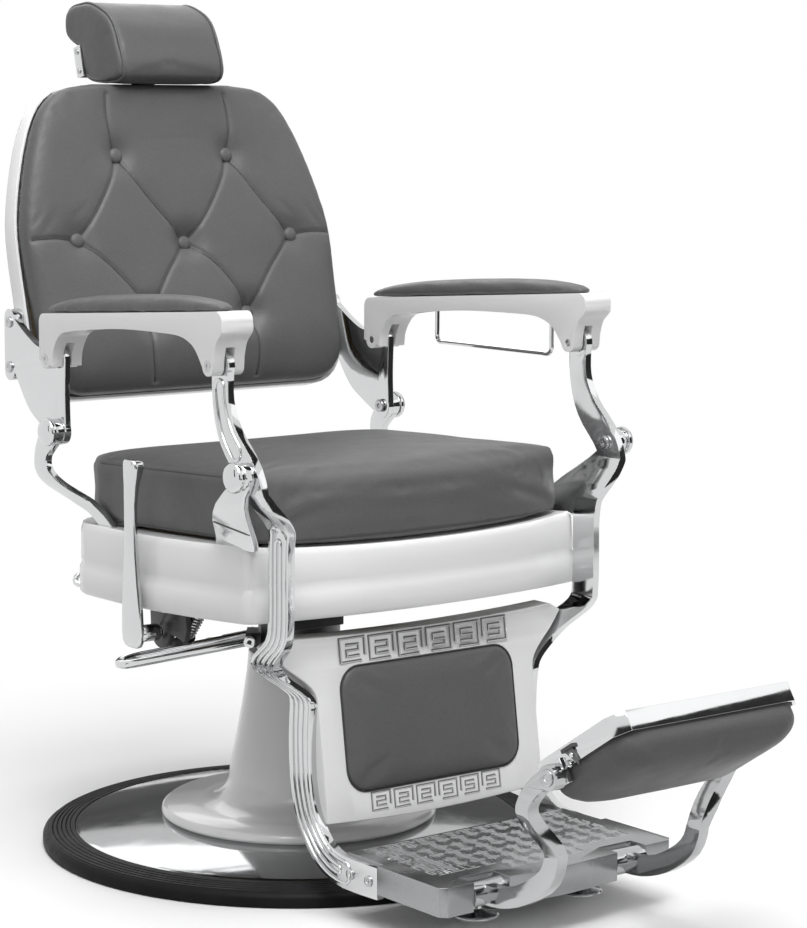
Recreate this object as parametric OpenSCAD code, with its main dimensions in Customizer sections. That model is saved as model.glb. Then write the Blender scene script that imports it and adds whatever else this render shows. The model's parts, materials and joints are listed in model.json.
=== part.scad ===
// Barber chair with a linked recline: the backrest, both armrests and the leg frame move
// together on a four-bar linkage, over a round weighted base with a hydraulic lift.
// The chair faces -Y, X runs across it, and the floor is z = 0 under the column's axis.

/* [Base] */
// Outer diameter of the rubber base ring
base_d = 700; // [600:5:800]
// Width of the rubber ring, seen from above
ring_w = 44; // [30:1:60]
// Height of the rubber ring
ring_h = 24; // [16:1:34]
// Height of the polished disc at its middle
disc_h = 37; // [30:1:44]
// Diameter of the column cover's foot flange
flange_d = 378; // [320:2:440]
// Thickness of the foot flange
flange_t = 15; // [10:1:20]
// Diameter of the column cover at its top
cover_top_d = 138; // [130:1:150]
// Diameter of the column cover just above its foot
cover_root_d = 190; // [170:1:220]
// Height of the column cover's top above the floor
cover_top_z = 262; // [240:1:280]
// Wall thickness of the column cover
cover_wall = 4; // [3:0.5:6]

/* [Lift] */
// Outer diameter of the hydraulic ram
ram_d = 76; // [60:1:84]
// Outer diameter of the pump cylinder
cylinder_d = 104; // [96:1:110]
// How far the seat rises from its lowest position
lift_travel = 150; // [100:5:160]
// Outer diameter of the pump head under the seat
head_d = 112; // [100:1:120]
// Height of the pump head
head_h = 62; // [50:1:74]
// Reach of the pump pedal from the column's axis
pedal_reach = 246; // [200:2:300]
// Diameter of the pump pedal's tube
pedal_tube_d = 12; // [8:1:16]
// Width between the middles of the pedal's two legs
pedal_w = 58; // [40:1:80]

/* [Seat] */
// Width of the seat cushion
seat_w = 506; // [440:5:540]
// Front edge of the seat cushion, ahead of the column's axis
seat_front = 252; // [200:5:280]
// Rear edge of the seat cushion, behind the column's axis
seat_rear = 188; // [150:5:220]
// How far the front edge bows forward
seat_bow = 30; // [10:1:50]
// How far the skirt's top edge dips in the middle of the front
rim_dip = 9; // [0:1:14]
// Height of the skirt's top rim at its front corners
rim_z = 460; // [430:1:500]
// Height of the seat cushion at its edge
cushion_h = 80; // [60:1:100]
// How far the middle of the seat cushion crowns above its edge
seat_crown = 14; // [4:1:24]
// Backward slope of the seat in degrees
seat_tilt = 2.5; // [0:0.5:5]
// Height of the skirt
skirt_h = 95; // [80:1:110]
// How far the skirt stands out beyond the seat cushion on each side
skirt_out = 31; // [25:0.5:33]
// Wall thickness of the skirt
skirt_wall = 5; // [4:0.5:8]

/* [Backrest] */
// Width of the back cushion
back_w = 516; // [460:2:520]
// Height of the back cushion above its middle row of buttons
back_up = 225; // [200:1:260]
// Height of the back cushion below its middle row of buttons
back_down = 212; // [200:1:220]
// Backward tilt of the backrest in degrees
back_tilt = 14.5; // [12:1:26]
// Height of the middle row of buttons above the floor
button_row_z = 809.6; // [790:1:830]
// Distance of the middle row of buttons behind the column's axis
button_row_y = 275.6; // [265:1:290]
// Depth of the back cushion's padding in front of its edge seam
back_pad = 30; // [20:1:40]
// Depth of the back shell
shell_depth = 36; // [34:1:44]
// Wall thickness of the back shell
shell_wall = 4; // [3:0.5:6]
// Diameter of a cushion button
button_d = 20; // [14:1:26]

/* [Headrest] */
// Width of the headrest cushion
headrest_w = 184; // [170:2:230]
// Width of the flat bar that carries the headrest
headrest_bar_w = 40; // [30:1:50]
// Thickness of the flat bar
headrest_bar_t = 8; // [6:1:9]
// How far the headrest can be raised
headrest_travel = 90; // [60:5:110]

/* [Linkage] */
// Thickness of the linkage's flat bars
bar_t = 10; // [8:0.5:12]
// Rear pivot between the seat and the backrest, behind the column's axis
rear_pivot_y = 165.9; // [160:1:172]
// Height of the rear pivot
rear_pivot_z = 563.7; // [558:1:570]
// Front pivot between the seat and the leg frame, ahead of the column's axis
front_pivot_y = 299.7; // [294:1:306]
// Height of the front pivot
front_pivot_z = 555.1; // [550:1:560]
// Rear pivot of the armrest, behind the column's axis
rest_rear_y = 166; // [160:1:172]
// Height of the armrest's rear pivot
rest_rear_z = 661; // [655:1:667]
// Front pivot of the armrest, ahead of the column's axis
rest_front_y = 242; // [236:1:248]
// Height of the armrest's front pivot
rest_front_z = 684.6; // [678:1:690]
// Distance of the backrest brackets' middle beyond the edge of the back cushion
rear_out = 15; // [14:0.5:18]
// Distance of the front arms' middle from the chair's middle, at their top
front_x = 290; // [288:1:294]
// Diameter of a pivot knob's head
knob_d = 38; // [30:1:40]
// Length of a pivot knob's head
knob_h = 12; // [8:1:16]
// Diameter of the pivot bolts' shanks
pivot_d = 14; // [10:1:16]

/* [Armrests] */
// Width of an armrest
rest_w = 46; // [42:1:52]
// Thickness of an armrest casting at its middle
rest_t = 24; // [20:1:30]
// How far an armrest pad crowns above its casting
rest_pad_h = 22; // [8:1:26]
// Width of the slots in an armrest's two lugs
lug_slot_w = 14; // [12:0.5:16]
// Diameter of the wire of the towel rail
towel_wire_d = 6; // [4:0.5:8]
// Length of the towel rail
towel_len = 246; // [200:2:260]
// Drop of the towel rail below its hooks
towel_drop = 41; // [30:1:60]

/* [Leg frame] */
// Width of the front arms' bars
arm_w = 44; // [38:1:50]
// Distance of the front arms from the chair's middle beside the skirt
run_x = 248.5; // [244:0.5:252]
// Distance of the front arms from the chair's middle beside the calf panel
shin_x = 182; // [176:1:190]
// Height of the calf panel's top edge
panel_top_z = 341; // [334:1:348]
// Height of the calf panel's bottom edge
panel_bottom_z = 102; // [96:1:110]
// Depth of the calf panel's casting
panel_t = 32; // [26:1:40]
// Width of the calf pad
calf_pad_w = 282; // [250:2:290]
// Height of the calf pad
calf_pad_h = 160; // [140:2:166]
// Thickness that shows of the calf pad at its middle
calf_pad_t = 9; // [4:1:14]

/* [Platform] */
// Height of the platform's top above the floor
platform_z = 83; // [76:1:90]
// Thickness of the platform
platform_t = 36; // [28:1:38]
// Front edge of the platform, ahead of the column's axis
platform_front = 545; // [530:1:560]
// Rear edge of the platform, ahead of the column's axis
platform_rear = 346; // [340:1:356]
// Distance of the footrest's hinge ahead of the column's axis
hinge_y = 533; // [525:1:545]
// Diameter of the platform's glides
glide_d = 58; // [50:1:70]

/* [Footrest] */
// Width of the footrest's tray
tray_w = 291; // [282:1:293]
// Length of the footrest's tray
tray_len = 152; // [140:2:170]
// Thickness of the footrest's tray
tray_t = 24; // [18:1:28]
// Upward slope of the tray in degrees
tray_slope = 33; // [25:1:40]
// Distance of the tray's pivot ahead of the column's axis
tray_pivot_y = 706; // [700:1:712]
// Height of the tray's pivot
tray_pivot_z = 247; // [240:1:254]
// Thickness of the footrest's cushion
foot_cushion_t = 46; // [30:1:50]
// Thickness of the footrest's swing arms, across the chair
swing_t = 16; // [12:1:18]
// Width of the footrest's swing arms, seen from the side
swing_w = 25; // [20:1:30]

/* [Controls] */
// Height of the recline lever's top above the floor
lever_top_z = 550; // [520:2:570]
// Thickness of the recline lever
lever_t = 9; // [6:1:10]
// Height of the recline lever's pivot
lever_pivot_z = 325; // [320:1:332]
// Distance of the recline lever's pivot ahead of the column's axis
lever_pivot_y = 62; // [56:1:70]
// Curls of the lock spring
spring_curls = 9; // [6:1:12]
// Outer diameter of the lock spring
spring_d = 23; // [18:1:26]
// Wire diameter of the lock spring
spring_wire_d = 3; // [2:0.5:3.5]
// Length of the lock spring
spring_len = 50; // [46:1:58]

/* [Hidden] */

leather = [0.42, 0.42, 0.43];
white = [0.9, 0.9, 0.9];
chrome = [0.72, 0.73, 0.75];
black = [0.08, 0.08, 0.08];
steel = [0.5, 0.5, 0.52];

round_fn = 96;
small_fn = 40;
fit = 0.05;       // running clearance on the radius of a pivot
play = 0.3;       // gap between pieces that move past each other
over = 1;         // overrun of a cut past the face that it opens
wide = 1600;      // longer than any piece
skirt_w = seat_w + 2 * skirt_out;
rear_x = back_w / 2 + rear_out;
corner_turn = 60;
boss_dip = 10;

// Curves and outlines

function spline(a, b, c, d, t) =
  0.5 * (2 * b + (c - a) * t + (2 * a - 5 * b + 4 * c - d) * t * t
         + (3 * b - a - 3 * c + d) * t * t * t);
function pick(p, i) = p[max(0, min(len(p) - 1, i))];
function smooth(p, n) = concat(
  [for (i = [0:len(p) - 2]) for (j = [0:n - 1])
     spline(pick(p, i - 1), p[i], p[i + 1], pick(p, i + 2), j / n)],
  [p[len(p) - 1]]);
function unit(v) = v / norm(v);
function along(p, i) = unit(pick(p, i + 1) - pick(p, i - 1));
function across(v) = [-v[1], v[0]];
function flat2(p) = [p[0], p[1]];
// Outline of a band along a path of [a, b, half width] points
function band(p) = concat(
  [for (i = [0:len(p) - 1]) flat2(p[i]) + p[i][2] * across(unit(
     flat2(pick(p, i + 1)) - flat2(pick(p, i - 1))))],
  [for (i = [len(p) - 1:-1:0]) flat2(p[i]) - p[i][2] * across(unit(
     flat2(pick(p, i + 1)) - flat2(pick(p, i - 1))))]);
function arc(c, r, a0, a1, n) =
  [for (i = [0:n]) let (a = a0 + (a1 - a0) * i / n) c + r * [cos(a), sin(a)]];
// A closed outline drawn in by d at every point
function inset(p, d) = [for (i = [0:len(p) - 1])
  let (t = p[(i + 1) % len(p)] - p[(i + len(p) - 1) % len(p)]) p[i] + d * across(unit(t))];
function shrink(p, c, s) = [for (q = p) c + s * (q - c)];
function lift(p, z) = [for (q = p) [q[0], q[1], z]];

function middle(r) = [for (c = [0:2]) let (v = [for (p = r) p[c]]) (max(v) + min(v)) / 2];
// Solid through a list of closed rings with as many points each; the last ends in a fan
module loft(rings, dip = 0) {
  n = len(rings[0]);
  k = len(rings);
  polyhedron(
    points = concat([for (r = rings) for (p = r) p], [middle(rings[k - 1]) - [0, 0, dip]]),
    faces = concat(
      [[for (i = [0:n - 1]) i]],
      [for (j = [0:k - 2]) for (i = [0:n - 1]) [j * n + i, (j + 1) * n + i, (j + 1) * n + (i + 1) % n]],
      [for (j = [0:k - 2]) for (i = [0:n - 1]) [j * n + i, (j + 1) * n + (i + 1) % n, j * n + (i + 1) % n]],
      [for (i = [0:n - 1]) [(k - 1) * n + (i + 1) % n, (k - 1) * n + i, k * n]]));
}
// Tube of sides flats along a list of points
module tube_along(p, r, sides, flat_to = [0, 0, 1]) {
  loft([for (i = [0:len(p) - 1])
    let (t = unit(pick(p, i + 1) - pick(p, i - 1)), u = unit(cross(t, flat_to)), v = cross(t, u))
    [for (j = [0:sides - 1]) p[i] + r * (cos(360 * j / sides) * u + sin(360 * j / sides) * v)]]);
}
// Side outlines are [y, z] and run along X; front outlines are [x, z] and run along Y
module side_plate(outline, x0, x1) {
  translate([x0, 0, 0]) rotate([90, 0, 90]) linear_extrude(x1 - x0) polygon(outline);
}
module front_plate(outline) {
  translate([0, wide / 2, 0]) rotate([90, 0, 0]) linear_extrude(wide) polygon(outline);
}
module front_plate_of() {
  translate([0, wide / 2, 0]) rotate([90, 0, 0]) linear_extrude(wide) children();
}
module x_rod(y, z, r, x0, x1, fn = small_fn) {
  translate([x0, y, z]) rotate([0, 90, 0]) cylinder(r = r, h = x1 - x0, $fn = fn);
}
// Right is the sitter's right hand, at -X
module on_side(side) {
  if (side < 0) mirror([1, 0, 0]) children();
  else children();
}
module in_seat() {
  translate([0, -seat_front, rim_z]) rotate([-seat_tilt, 0, 0]) children();
}
module in_back() {
  translate([0, button_row_y, button_row_z]) rotate([-back_tilt, 0, 0]) children();
}
// Outlines in [x, height] drawn on the backrest grow forwards with their third value
module on_back() {
  in_back() rotate([90, 0, 0]) children();
}
module in_tray() {
  translate([0, -tray_pivot_y, tray_pivot_z]) rotate([-tray_slope, 0, 0]) children();
}

// Base and lift

disc_edge_h = ring_h - 1;
disc_r = base_d / 2 - ring_w;
cylinder_z = disc_h;
cylinder_wall = 6;
foot_r = cylinder_d / 2 + 30;
foot_t = 10;
bolt_r = 5;
gland_h = 14;
ram_wall = 6;
head_gap = 5;
head_z = cover_top_z + head_gap;
spigot_r = ram_d / 2 - 12;
spigot_h = 30;
ram_bottom_z = cylinder_z + 16;

disc_wall = 8;
disc_rib = 24;
groove_in = 120;
groove_h = disc_edge_h - disc_wall;
module base_ring() {
  color(black) rotate_extrude($fn = round_fn) polygon([
    [disc_r + fit, 0], [base_d / 2 - ring_h / 6, 0], [base_d / 2, ring_h / 6],
    [base_d / 2, ring_h * 0.55], [base_d / 2 - ring_w * 0.3, ring_h * 0.92],
    [base_d / 2 - ring_w * 0.8, ring_h], [disc_r + fit, ring_h]]);
}
module base_disc() {
  color(chrome) rotate_extrude($fn = round_fn) polygon([
    [0, 0], [groove_in, 0], [groove_in + groove_h / 2, groove_h], [disc_r - disc_rib - groove_h / 2, groove_h],
    [disc_r - disc_rib, 0], [disc_r, 0], [disc_r, disc_edge_h], [disc_r - ring_h / 4, ring_h + over],
    [flange_d / 2, disc_h], [0, disc_h]]);
}
fillet_h = cover_root_d / 4;
flange_top = disc_h + flange_t;
function cover_r(z) = cover_top_d / 2
  + (cover_root_d - cover_top_d) / 2 * pow(max(0, (cover_top_z - z) / (cover_top_z - flange_top - fillet_h)), 1.3);
function fillet_r(a) = (flange_d - cover_root_d) / 6 * (1 - cos(a));
module column_cover() {
  outer = concat(
    [[flange_d / 2 - flange_t / 5, disc_h], [flange_d / 2, disc_h + flange_t / 4],
     [flange_d / 2 - flange_t / 8, disc_h + 0.7 * flange_t], [flange_d / 2 - flange_t / 2, flange_top]],
    [for (a = [90:-15:15]) [cover_root_d / 2 + fillet_h * (1 - cos(a)) * 0.9, flange_top + fillet_h * (1 - sin(a)) * 0.9]],
    [for (i = [0:8]) let (z = flange_top + fillet_h + (cover_top_z - flange_top - fillet_h) * i / 8) [cover_r(z), z]]);
  color(white) rotate_extrude($fn = round_fn) polygon(concat(outer, [
    [cover_top_d / 2 - cover_wall, cover_top_z], [cylinder_d / 2 + cover_wall, cover_top_z],
    [cylinder_d / 2 + cover_wall, cover_top_z - 2 * cover_wall],
    [cover_top_d / 2 - cover_wall, cover_top_z - 3 * cover_wall],
    [cover_root_d / 2 - 2 * cover_wall, flange_top + fillet_h],
    [foot_r + 2 * cover_wall, flange_top], [foot_r + 2 * cover_wall, disc_h]]));
}
module pump_cylinder() {
  color(steel) difference() {
    union() {
      translate([0, 0, cylinder_z]) cylinder(r = foot_r, h = foot_t, $fn = round_fn);
      translate([0, 0, cylinder_z]) cylinder(d = cylinder_d, h = cover_top_z - cylinder_z, $fn = round_fn);
    }
    translate([0, 0, cylinder_z + foot_t])
      cylinder(r = cylinder_d / 2 - cylinder_wall, h = wide, $fn = round_fn);
    for (a = [45:90:315]) rotate(a) translate([(foot_r + cylinder_d / 2) / 2, 0, cylinder_z - over])
      cylinder(r = bolt_r + fit, h = foot_t + 2 * over, $fn = small_fn);
  }
}
module cylinder_bolts() {
  color(steel) for (a = [45:90:315]) rotate(a) translate([(foot_r + cylinder_d / 2) / 2, 0, cylinder_z]) {
    cylinder(r = bolt_r, h = foot_t, $fn = small_fn);
    translate([0, 0, foot_t]) cylinder(r = 1.7 * bolt_r, h = 1.3 * bolt_r, $fn = 6);
  }
}
module gland_ring() {
  color(steel) translate([0, 0, cover_top_z - gland_h]) difference() {
    cylinder(r = cylinder_d / 2 - cylinder_wall, h = gland_h, $fn = round_fn);
    translate([0, 0, -over]) cylinder(r = ram_d / 2 + fit, h = gland_h + 2 * over, $fn = round_fn);
  }
}
module ram() {
  color(chrome) difference() {
    union() {
      translate([0, 0, ram_bottom_z]) cylinder(d = ram_d, h = head_z - ram_bottom_z - play, $fn = round_fn);
      cylinder_top = head_z - play;
      translate([0, 0, cylinder_top]) cylinder(r = spigot_r, h = spigot_h, $fn = round_fn);
    }
    translate([0, 0, ram_bottom_z - over])
      cylinder(r = ram_d / 2 - 3 * ram_wall, h = head_z - ram_bottom_z, $fn = round_fn);
  }
}
frame_z = head_z + head_h;
rail_t = 22;
pedal_root = head_d / 2 + 10;
pedal_z = head_z + 10;
pedal_drop = 36;
pedal_dir = 142;
pedal_pin_r = 3;
pedal_r = pedal_tube_d / 2;
pedal_eye_r = pedal_r + 2;
function pedal_point(s, side) = [pedal_root + s * (pedal_reach - pedal_root), side * pedal_w / 2,
                                 pedal_z - s * pedal_drop];
pedal_bend = pedal_w / 2 / (pedal_reach - pedal_root);
module pump_head() {
  inner = pedal_w / 2 - pedal_r - play;
  color(black) difference() {
    union() {
      translate([0, 0, head_z]) cylinder(d = head_d, h = head_h, $fn = round_fn);
      translate([0, 0, frame_z - rail_t / 2]) cylinder(d = 1.5 * head_d, h = rail_t / 2, $fn = round_fn);
      rotate(pedal_dir) {
        translate([head_d / 4, -inner, head_z + over]) cube([pedal_root + pedal_r - head_d / 4, 2 * inner, 2 * (pedal_z - head_z) - over]);
        translate([pedal_root, 0, pedal_z]) rotate([90, 0, 0])
          cylinder(r = pedal_pin_r, h = pedal_w + pedal_tube_d, center = true, $fn = small_fn);
      }
    }
    translate([0, 0, head_z - over]) cylinder(r = spigot_r + fit, h = spigot_h + over + play, $fn = round_fn);
  }
}
module pump_pedal() {
  tip = 1 - pedal_bend;
  path = concat(
    [pedal_point(0, -1), pedal_point(tip / 2, -1)],
    [for (a = [-90:15:90]) pedal_point(tip + pedal_bend * cos(a), sin(a))],
    [pedal_point(tip / 2, 1), pedal_point(0, 1)]);
  color(chrome) rotate(pedal_dir) difference() {
    union() {
      tube_along(path, pedal_r, 12);
      for (s = [-1, 1]) translate([pedal_root, s * pedal_w / 2, pedal_z]) rotate([90, 0, 0])
        cylinder(r = pedal_eye_r, h = pedal_tube_d, center = true, $fn = small_fn);
    }
    translate([pedal_root, 0, pedal_z]) rotate([90, 0, 0])
      cylinder(r = pedal_pin_r + fit, h = wide, center = true, $fn = small_fn);
  }
}

// Seat

rail_x = 118;
pan_t = 14;
cushion_front_r = 18;
cushion_rear_r = 100;
skirt_front_r = 22;
skirt_rear_r = 106;
skirt_front = seat_front + 12;
skirt_rear = seat_rear + 12;
rim_w = 26;
rim_shelf = 0.85 * rim_w;
shelf_drop = 1.5;
rim_in = 1.6 * rim_w;
rim_t = 6;
lip_h = 34;
lip_out = 4;
// Plan of the seat: straight sides that bulge a little, round rear corners and a bowed front
function plan(hw, yf, yr, rf, rr, bow, bulge) = concat(
  [for (i = [-5:5]) let (t = i / 5) [t * (hw - rf), -yf - bow * (1 - t * t)]],
  arc([hw - rf, rf - yf], rf, -corner_turn, 0, 3),
  [for (t = [0.25, 0.5, 0.75]) [hw + bulge * sin(180 * t), rf - yf + t * (yr - rr - rf + yf)]],
  arc([hw - rr, yr - rr], rr, 0, 90, 7),
  arc([rr - hw, yr - rr], rr, 90, 180, 7),
  [for (t = [0.75, 0.5, 0.25]) [-hw - bulge * sin(180 * t), rf - yf + t * (yr - rr - rf + yf)]],
  arc([rf - hw, rf - yf], rf, 180, 180 + corner_turn, 3));
function to_seat(p) = [for (q = p) [q[0], q[1] + seat_front]];
function cushion_plan(d) = to_seat(plan(
  seat_w / 2 - d, seat_front - d, seat_rear - d, cushion_front_r, cushion_rear_r - d, seat_bow, 0));
skirt_taper = 14;
function skirt_plan(d) = to_seat(plan(
  skirt_w / 2 - skirt_taper - d, skirt_front - d, skirt_rear - d,
  skirt_front_r - d / 2, skirt_rear_r - d, seat_bow, skirt_taper));

// Height of the rim on the skirt, which dips along the front
function rim_at(p) = -rim_dip * pow(max(0, 1 - pow(p[0] / (seat_w / 2), 2)), 0.6)
  * max(0, min(1, (pan_margin - p[1]) / pan_margin));
function on_rim(p, z) = [for (q = p) [q[0], q[1], z + rim_at(q)]];
pan_margin = 40;
pan_share = 1 - 4 * rim_w / skirt_w;
skirt_mid = [0, seat_front - (skirt_front - skirt_rear) / 2];
module skirt() {
  rings = [
    lift(skirt_plan(-lip_out * 0.3), -skirt_h), lift(skirt_plan(-lip_out), -skirt_h + lip_out),
    lift(skirt_plan(-lip_out), -skirt_h + lip_h), lift(skirt_plan(0), -skirt_h + lip_h * 1.25),
    lift(skirt_plan(-lip_out * 0.3), -skirt_h / 2), on_rim(skirt_plan(0), -rim_t * 1.5),
    on_rim(skirt_plan(rim_t / 2), 0), on_rim(skirt_plan(rim_t), 0), on_rim(skirt_plan(rim_shelf), -shelf_drop),
    lift(skirt_plan(rim_in), -shelf_drop)];
  color(white) in_seat() difference() {
    loft(rings);
    loft([lift(skirt_plan(skirt_wall), -skirt_h - over), on_rim(skirt_plan(skirt_wall + lip_out), -rim_t),
      lift(skirt_plan(rim_in), -rim_t)]);
    translate([0, 0, -rim_t - over]) linear_extrude(rim_t + 2 * over) polygon(shrink(skirt_plan(0), skirt_mid, pan_share));
  }
}
module seat_pan() {
  color(black) in_seat() translate([0, 0, -pan_t]) linear_extrude(pan_t)
    polygon(shrink(skirt_plan(0), skirt_mid, pan_share - play / skirt_w));
}
under_z = rim_z - skirt_h + 6;
stop_x = [57, 156];
module under_frame() {
  color(black) {
    difference() {
      union() {
        for (s = [-1, 1]) translate([s * rail_x - rail_t / 2, -seat_front + 2 * pan_margin, under_z])
          cube([rail_t, seat_front + seat_rear - 3 * pan_margin, wide]);
        translate([-rail_x, -1.2 * head_d / 2, frame_z]) cube([2 * rail_x, 1.2 * head_d, wide]);
      }
      in_seat() translate([-wide / 2, -wide / 2, -pan_t]) cube([wide, wide, wide]);
      translate([-rail_x + rail_t / 2, -wide / 2, frame_z + rail_t / 2]) cube([2 * rail_x - rail_t, wide, wide]);
    }
    for (y = frame_cross_shares) translate([-cross_half, y * seat_front - rail_t / 2, under_z])
      cube([2 * cross_half, rail_t, rail_t]);
    translate([-stop_x[1], frame_cross_shares[0] * seat_front - rail_t / 2, frame_z])
      cube([stop_x[1] - stop_x[0], rail_t, under_z - frame_z + over]);
  }
}
frame_cross_shares = [-0.66, 0.25];
cross_half = skirt_w / 2 - 5 * skirt_wall;

cushion_seam = 0.86;
module seat_cushion() {
  side_shares = [[10, 0.01], [2, 0.07], [0, 0.3], [2, 0.55], [1, 0.75], [0, cushion_seam], [3, 0.95], [8, 1]];
  crown_shares = [[0.985, 0.14], [0.94, 0.34], [0.87, 0.55], [0.76, 0.74], [0.6, 0.88], [0.4, 0.96], [0.2, 0.99], [0.06, 1]];
  mid = [0, seat_front];
  rings = concat(
    [lift(cushion_plan(rim_in - 12), 1.5 * play)],
    [for (s = side_shares) [for (q = cushion_plan(s[0])) [q[0], q[1], 1.5 * play + s[1] * cushion_h + (1 - s[1]) * rim_at(q)]]],
    [for (s = crown_shares) lift(shrink(cushion_plan(8), mid, s[0]), play + cushion_h + s[1] * seat_crown)]);
  color(leather) in_seat() loft(rings);
}

// Linkage carried by the seat

boss_r = 17;
knob_edge = 3;
knob_neck = 16;
head_x_front = front_x + bar_t / 2 + knob_neck;
rear_neck = 12;
module knob(y, z, x0) {
  translate([x0, y, z]) rotate([0, 90, 0]) rotate_extrude($fn = small_fn) polygon([
    [0, 0], [knob_d / 2 - knob_edge / 2, 0], [knob_d / 2, knob_edge / 2], [knob_d / 2, knob_h - knob_edge],
    [knob_d / 2 - knob_edge, knob_h - knob_edge / 3], [0, knob_h]]);
}
bracket_t = 10;
bracket_half_shares = [1.15, 0.62, 0.42, 0.4];
bracket_foot_y = -skirt_front + 1.1 * arm_w;
bracket_side_path = smooth([
  [bracket_foot_y, rim_z - rail_t, bracket_half_shares[0] * arm_w],
  [bracket_foot_y - 0.1 * arm_w, rim_z + 0.25 * arm_w, bracket_half_shares[1] * arm_w],
  [-front_pivot_y + 0.55 * arm_w, front_pivot_z - arm_w, bracket_half_shares[2] * arm_w],
  [-front_pivot_y, front_pivot_z, bracket_half_shares[3] * arm_w]], 4);
bracket_top_x = front_x + bar_t / 2 + play + bracket_t / 2;
bracket_foot_x = skirt_w / 2 - skirt_taper - bracket_t;
bracket_front_path = smooth([
  [bracket_foot_x, rim_z - rail_t, bracket_t / 2], [bracket_foot_x, rim_z + 0.3 * arm_w, bracket_t / 2],
  [(bracket_foot_x + bracket_top_x) / 2, rim_z + 0.85 * arm_w, bracket_t / 2],
  [bracket_top_x, rim_z + 1.4 * arm_w, bracket_t / 2], [bracket_top_x, front_pivot_z + arm_w, bracket_t / 2]], 4);
// Chrome bracket from the skirt's front corner to the front pivot
module front_bracket(side) {
  color(chrome) on_side(side) difference() {
    union() {
      intersection() {
        side_plate(band(bracket_side_path), 0, wide / 2);
        front_plate(band(bracket_front_path));
      }
      x_rod(-front_pivot_y, front_pivot_z, boss_r, front_x + bar_t / 2 + play, head_x_front);
    }
    x_rod(-front_pivot_y, front_pivot_z, pivot_d / 2 + fit, 0, wide);
    in_seat() translate([-wide / 2, -wide / 2, -wide]) cube([wide, wide, wide]);
  }
}
module front_bracket_right() { front_bracket(-1); }
module front_bracket_left() { front_bracket(1); }

support_foot_y = 62;
support_out = 26;
support_x = max(rear_x + bar_t / 2 + play + over, seat_w / 2 + support_out);
support_shares = [[-0.4, -0.75, 0.22], [0.9, 0.12, 0.22], [1.9, 0.5, 0.25], [2.8, 1.02, 0.32], [2.95, 1.7, 0.34]];
support_side_path = smooth(concat(
  [for (s = support_shares) [support_foot_y + s[0] * arm_w, rim_z + s[1] * arm_w, s[2] * arm_w]],
  [[rear_pivot_y, rear_pivot_z, 0.4 * arm_w]]), 4);
support_front_path = smooth([
  [skirt_w / 2 - skirt_taper - bar_t, rim_z - 2 * arm_w, bar_t / 2],
  [skirt_w / 2 - skirt_taper - bar_t, rim_z + 0.02 * arm_w, bar_t / 2],
  [support_x + bar_t / 2, rim_z + 0.95 * arm_w, bar_t / 2], [support_x + bar_t / 2, rear_pivot_z - 0.55 * arm_w, bar_t / 2],
  [support_x + bar_t / 2, rear_pivot_z + arm_w, bar_t / 2]], 4);
// Curved bar from the skirt's rim up to the rear pivot
module rear_support(side) {
  color(chrome) on_side(side) difference() {
    union() {
      intersection() {
        side_plate(band(support_side_path), 0, wide / 2);
        front_plate(band(support_front_path));
      }
      x_rod(rear_pivot_y, rear_pivot_z, boss_r, support_x - over, support_x + rear_neck - over);
    }
    x_rod(rear_pivot_y, rear_pivot_z, pivot_d / 2 + fit, 0, wide);
    in_seat() translate([-wide / 2, -wide / 2, -wide]) cube([wide, wide, wide]);
  }
}
module rear_support_right() { rear_support(-1); }
module rear_support_left() { rear_support(1); }
cap_r = 9;
cap_h = 5;
cap_hex_r = 4;
module front_pivot_bolts() {
  color(chrome) for (s = [-1, 1]) on_side(s) {
    knob(-front_pivot_y, front_pivot_z, head_x_front);
    x_rod(-front_pivot_y, front_pivot_z, pivot_d / 2, front_x - bar_t / 2 - play, head_x_front);
  }
}
module rear_pivot_bolts() {
  head_x = support_x - over + rear_neck;
  color(chrome) for (s = [-1, 1]) on_side(s) {
    knob(rear_pivot_y, rear_pivot_z, head_x);
    x_rod(rear_pivot_y, rear_pivot_z, pivot_d / 2, rear_x - bar_t / 2 - play, head_x);
  }
}
module pivot_cap(y, z, x) {
  difference() {
    x_rod(y, z, cap_r, x - cap_h, x);
    x_rod(y, z, cap_hex_r, x - cap_h - over, x - cap_h / 2, 6);
  }
}
module pivot_caps() {
  color(steel) for (s = [-1, 1]) on_side(s) {
    pivot_cap(-front_pivot_y, front_pivot_z, front_x - bar_t / 2 - play);
    pivot_cap(rear_pivot_y, rear_pivot_z, rear_x - bar_t / 2 - play);
  }
}

// Recline lever and its lock, on the sitter's right

lever_x = skirt_w / 2 + lip_out + 4;
lever_foot_z = 306;
lever_tube_r = 11;
lever_pin_r = 6;
lever_bracket_t = 8;
lever_bracket_in = 30;
lever_bracket_x = skirt_w / 2 - lever_bracket_in;
lever_shares = [[0, 0.5, 0.75], [0.12, 0.5, 0.72], [0.3, 0.46, 0.6], [0.55, 0.42, 0.5], [0.78, 0.4, 0.5], [0.9, 0.36, 0.7], [0.97, 0.34, 0.95], [1, 0.34, 0.9]];
lever_w = 42;
lever_rise = lever_top_z - lever_foot_z;
lever_side_path = smooth([for (s = lever_shares)
  [-lever_pivot_y + lever_w * s[1] * 0.9, lever_foot_z + s[0] * lever_rise, s[2] * lever_w / 2]], 4);
lever_front_path = smooth([
  [lever_x + 0.5 * lever_t, lever_foot_z - over, lever_t / 2],
  [lever_x + 0.5 * lever_t, lever_foot_z + 0.35 * lever_rise, lever_t / 2.2],
  [lever_x + 0.62 * lever_t, lever_foot_z + 0.75 * lever_rise, lever_t / 2.6],
  [lever_x + 1.1 * lever_t, lever_top_z + over, lever_t / 2]], 4);
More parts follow.
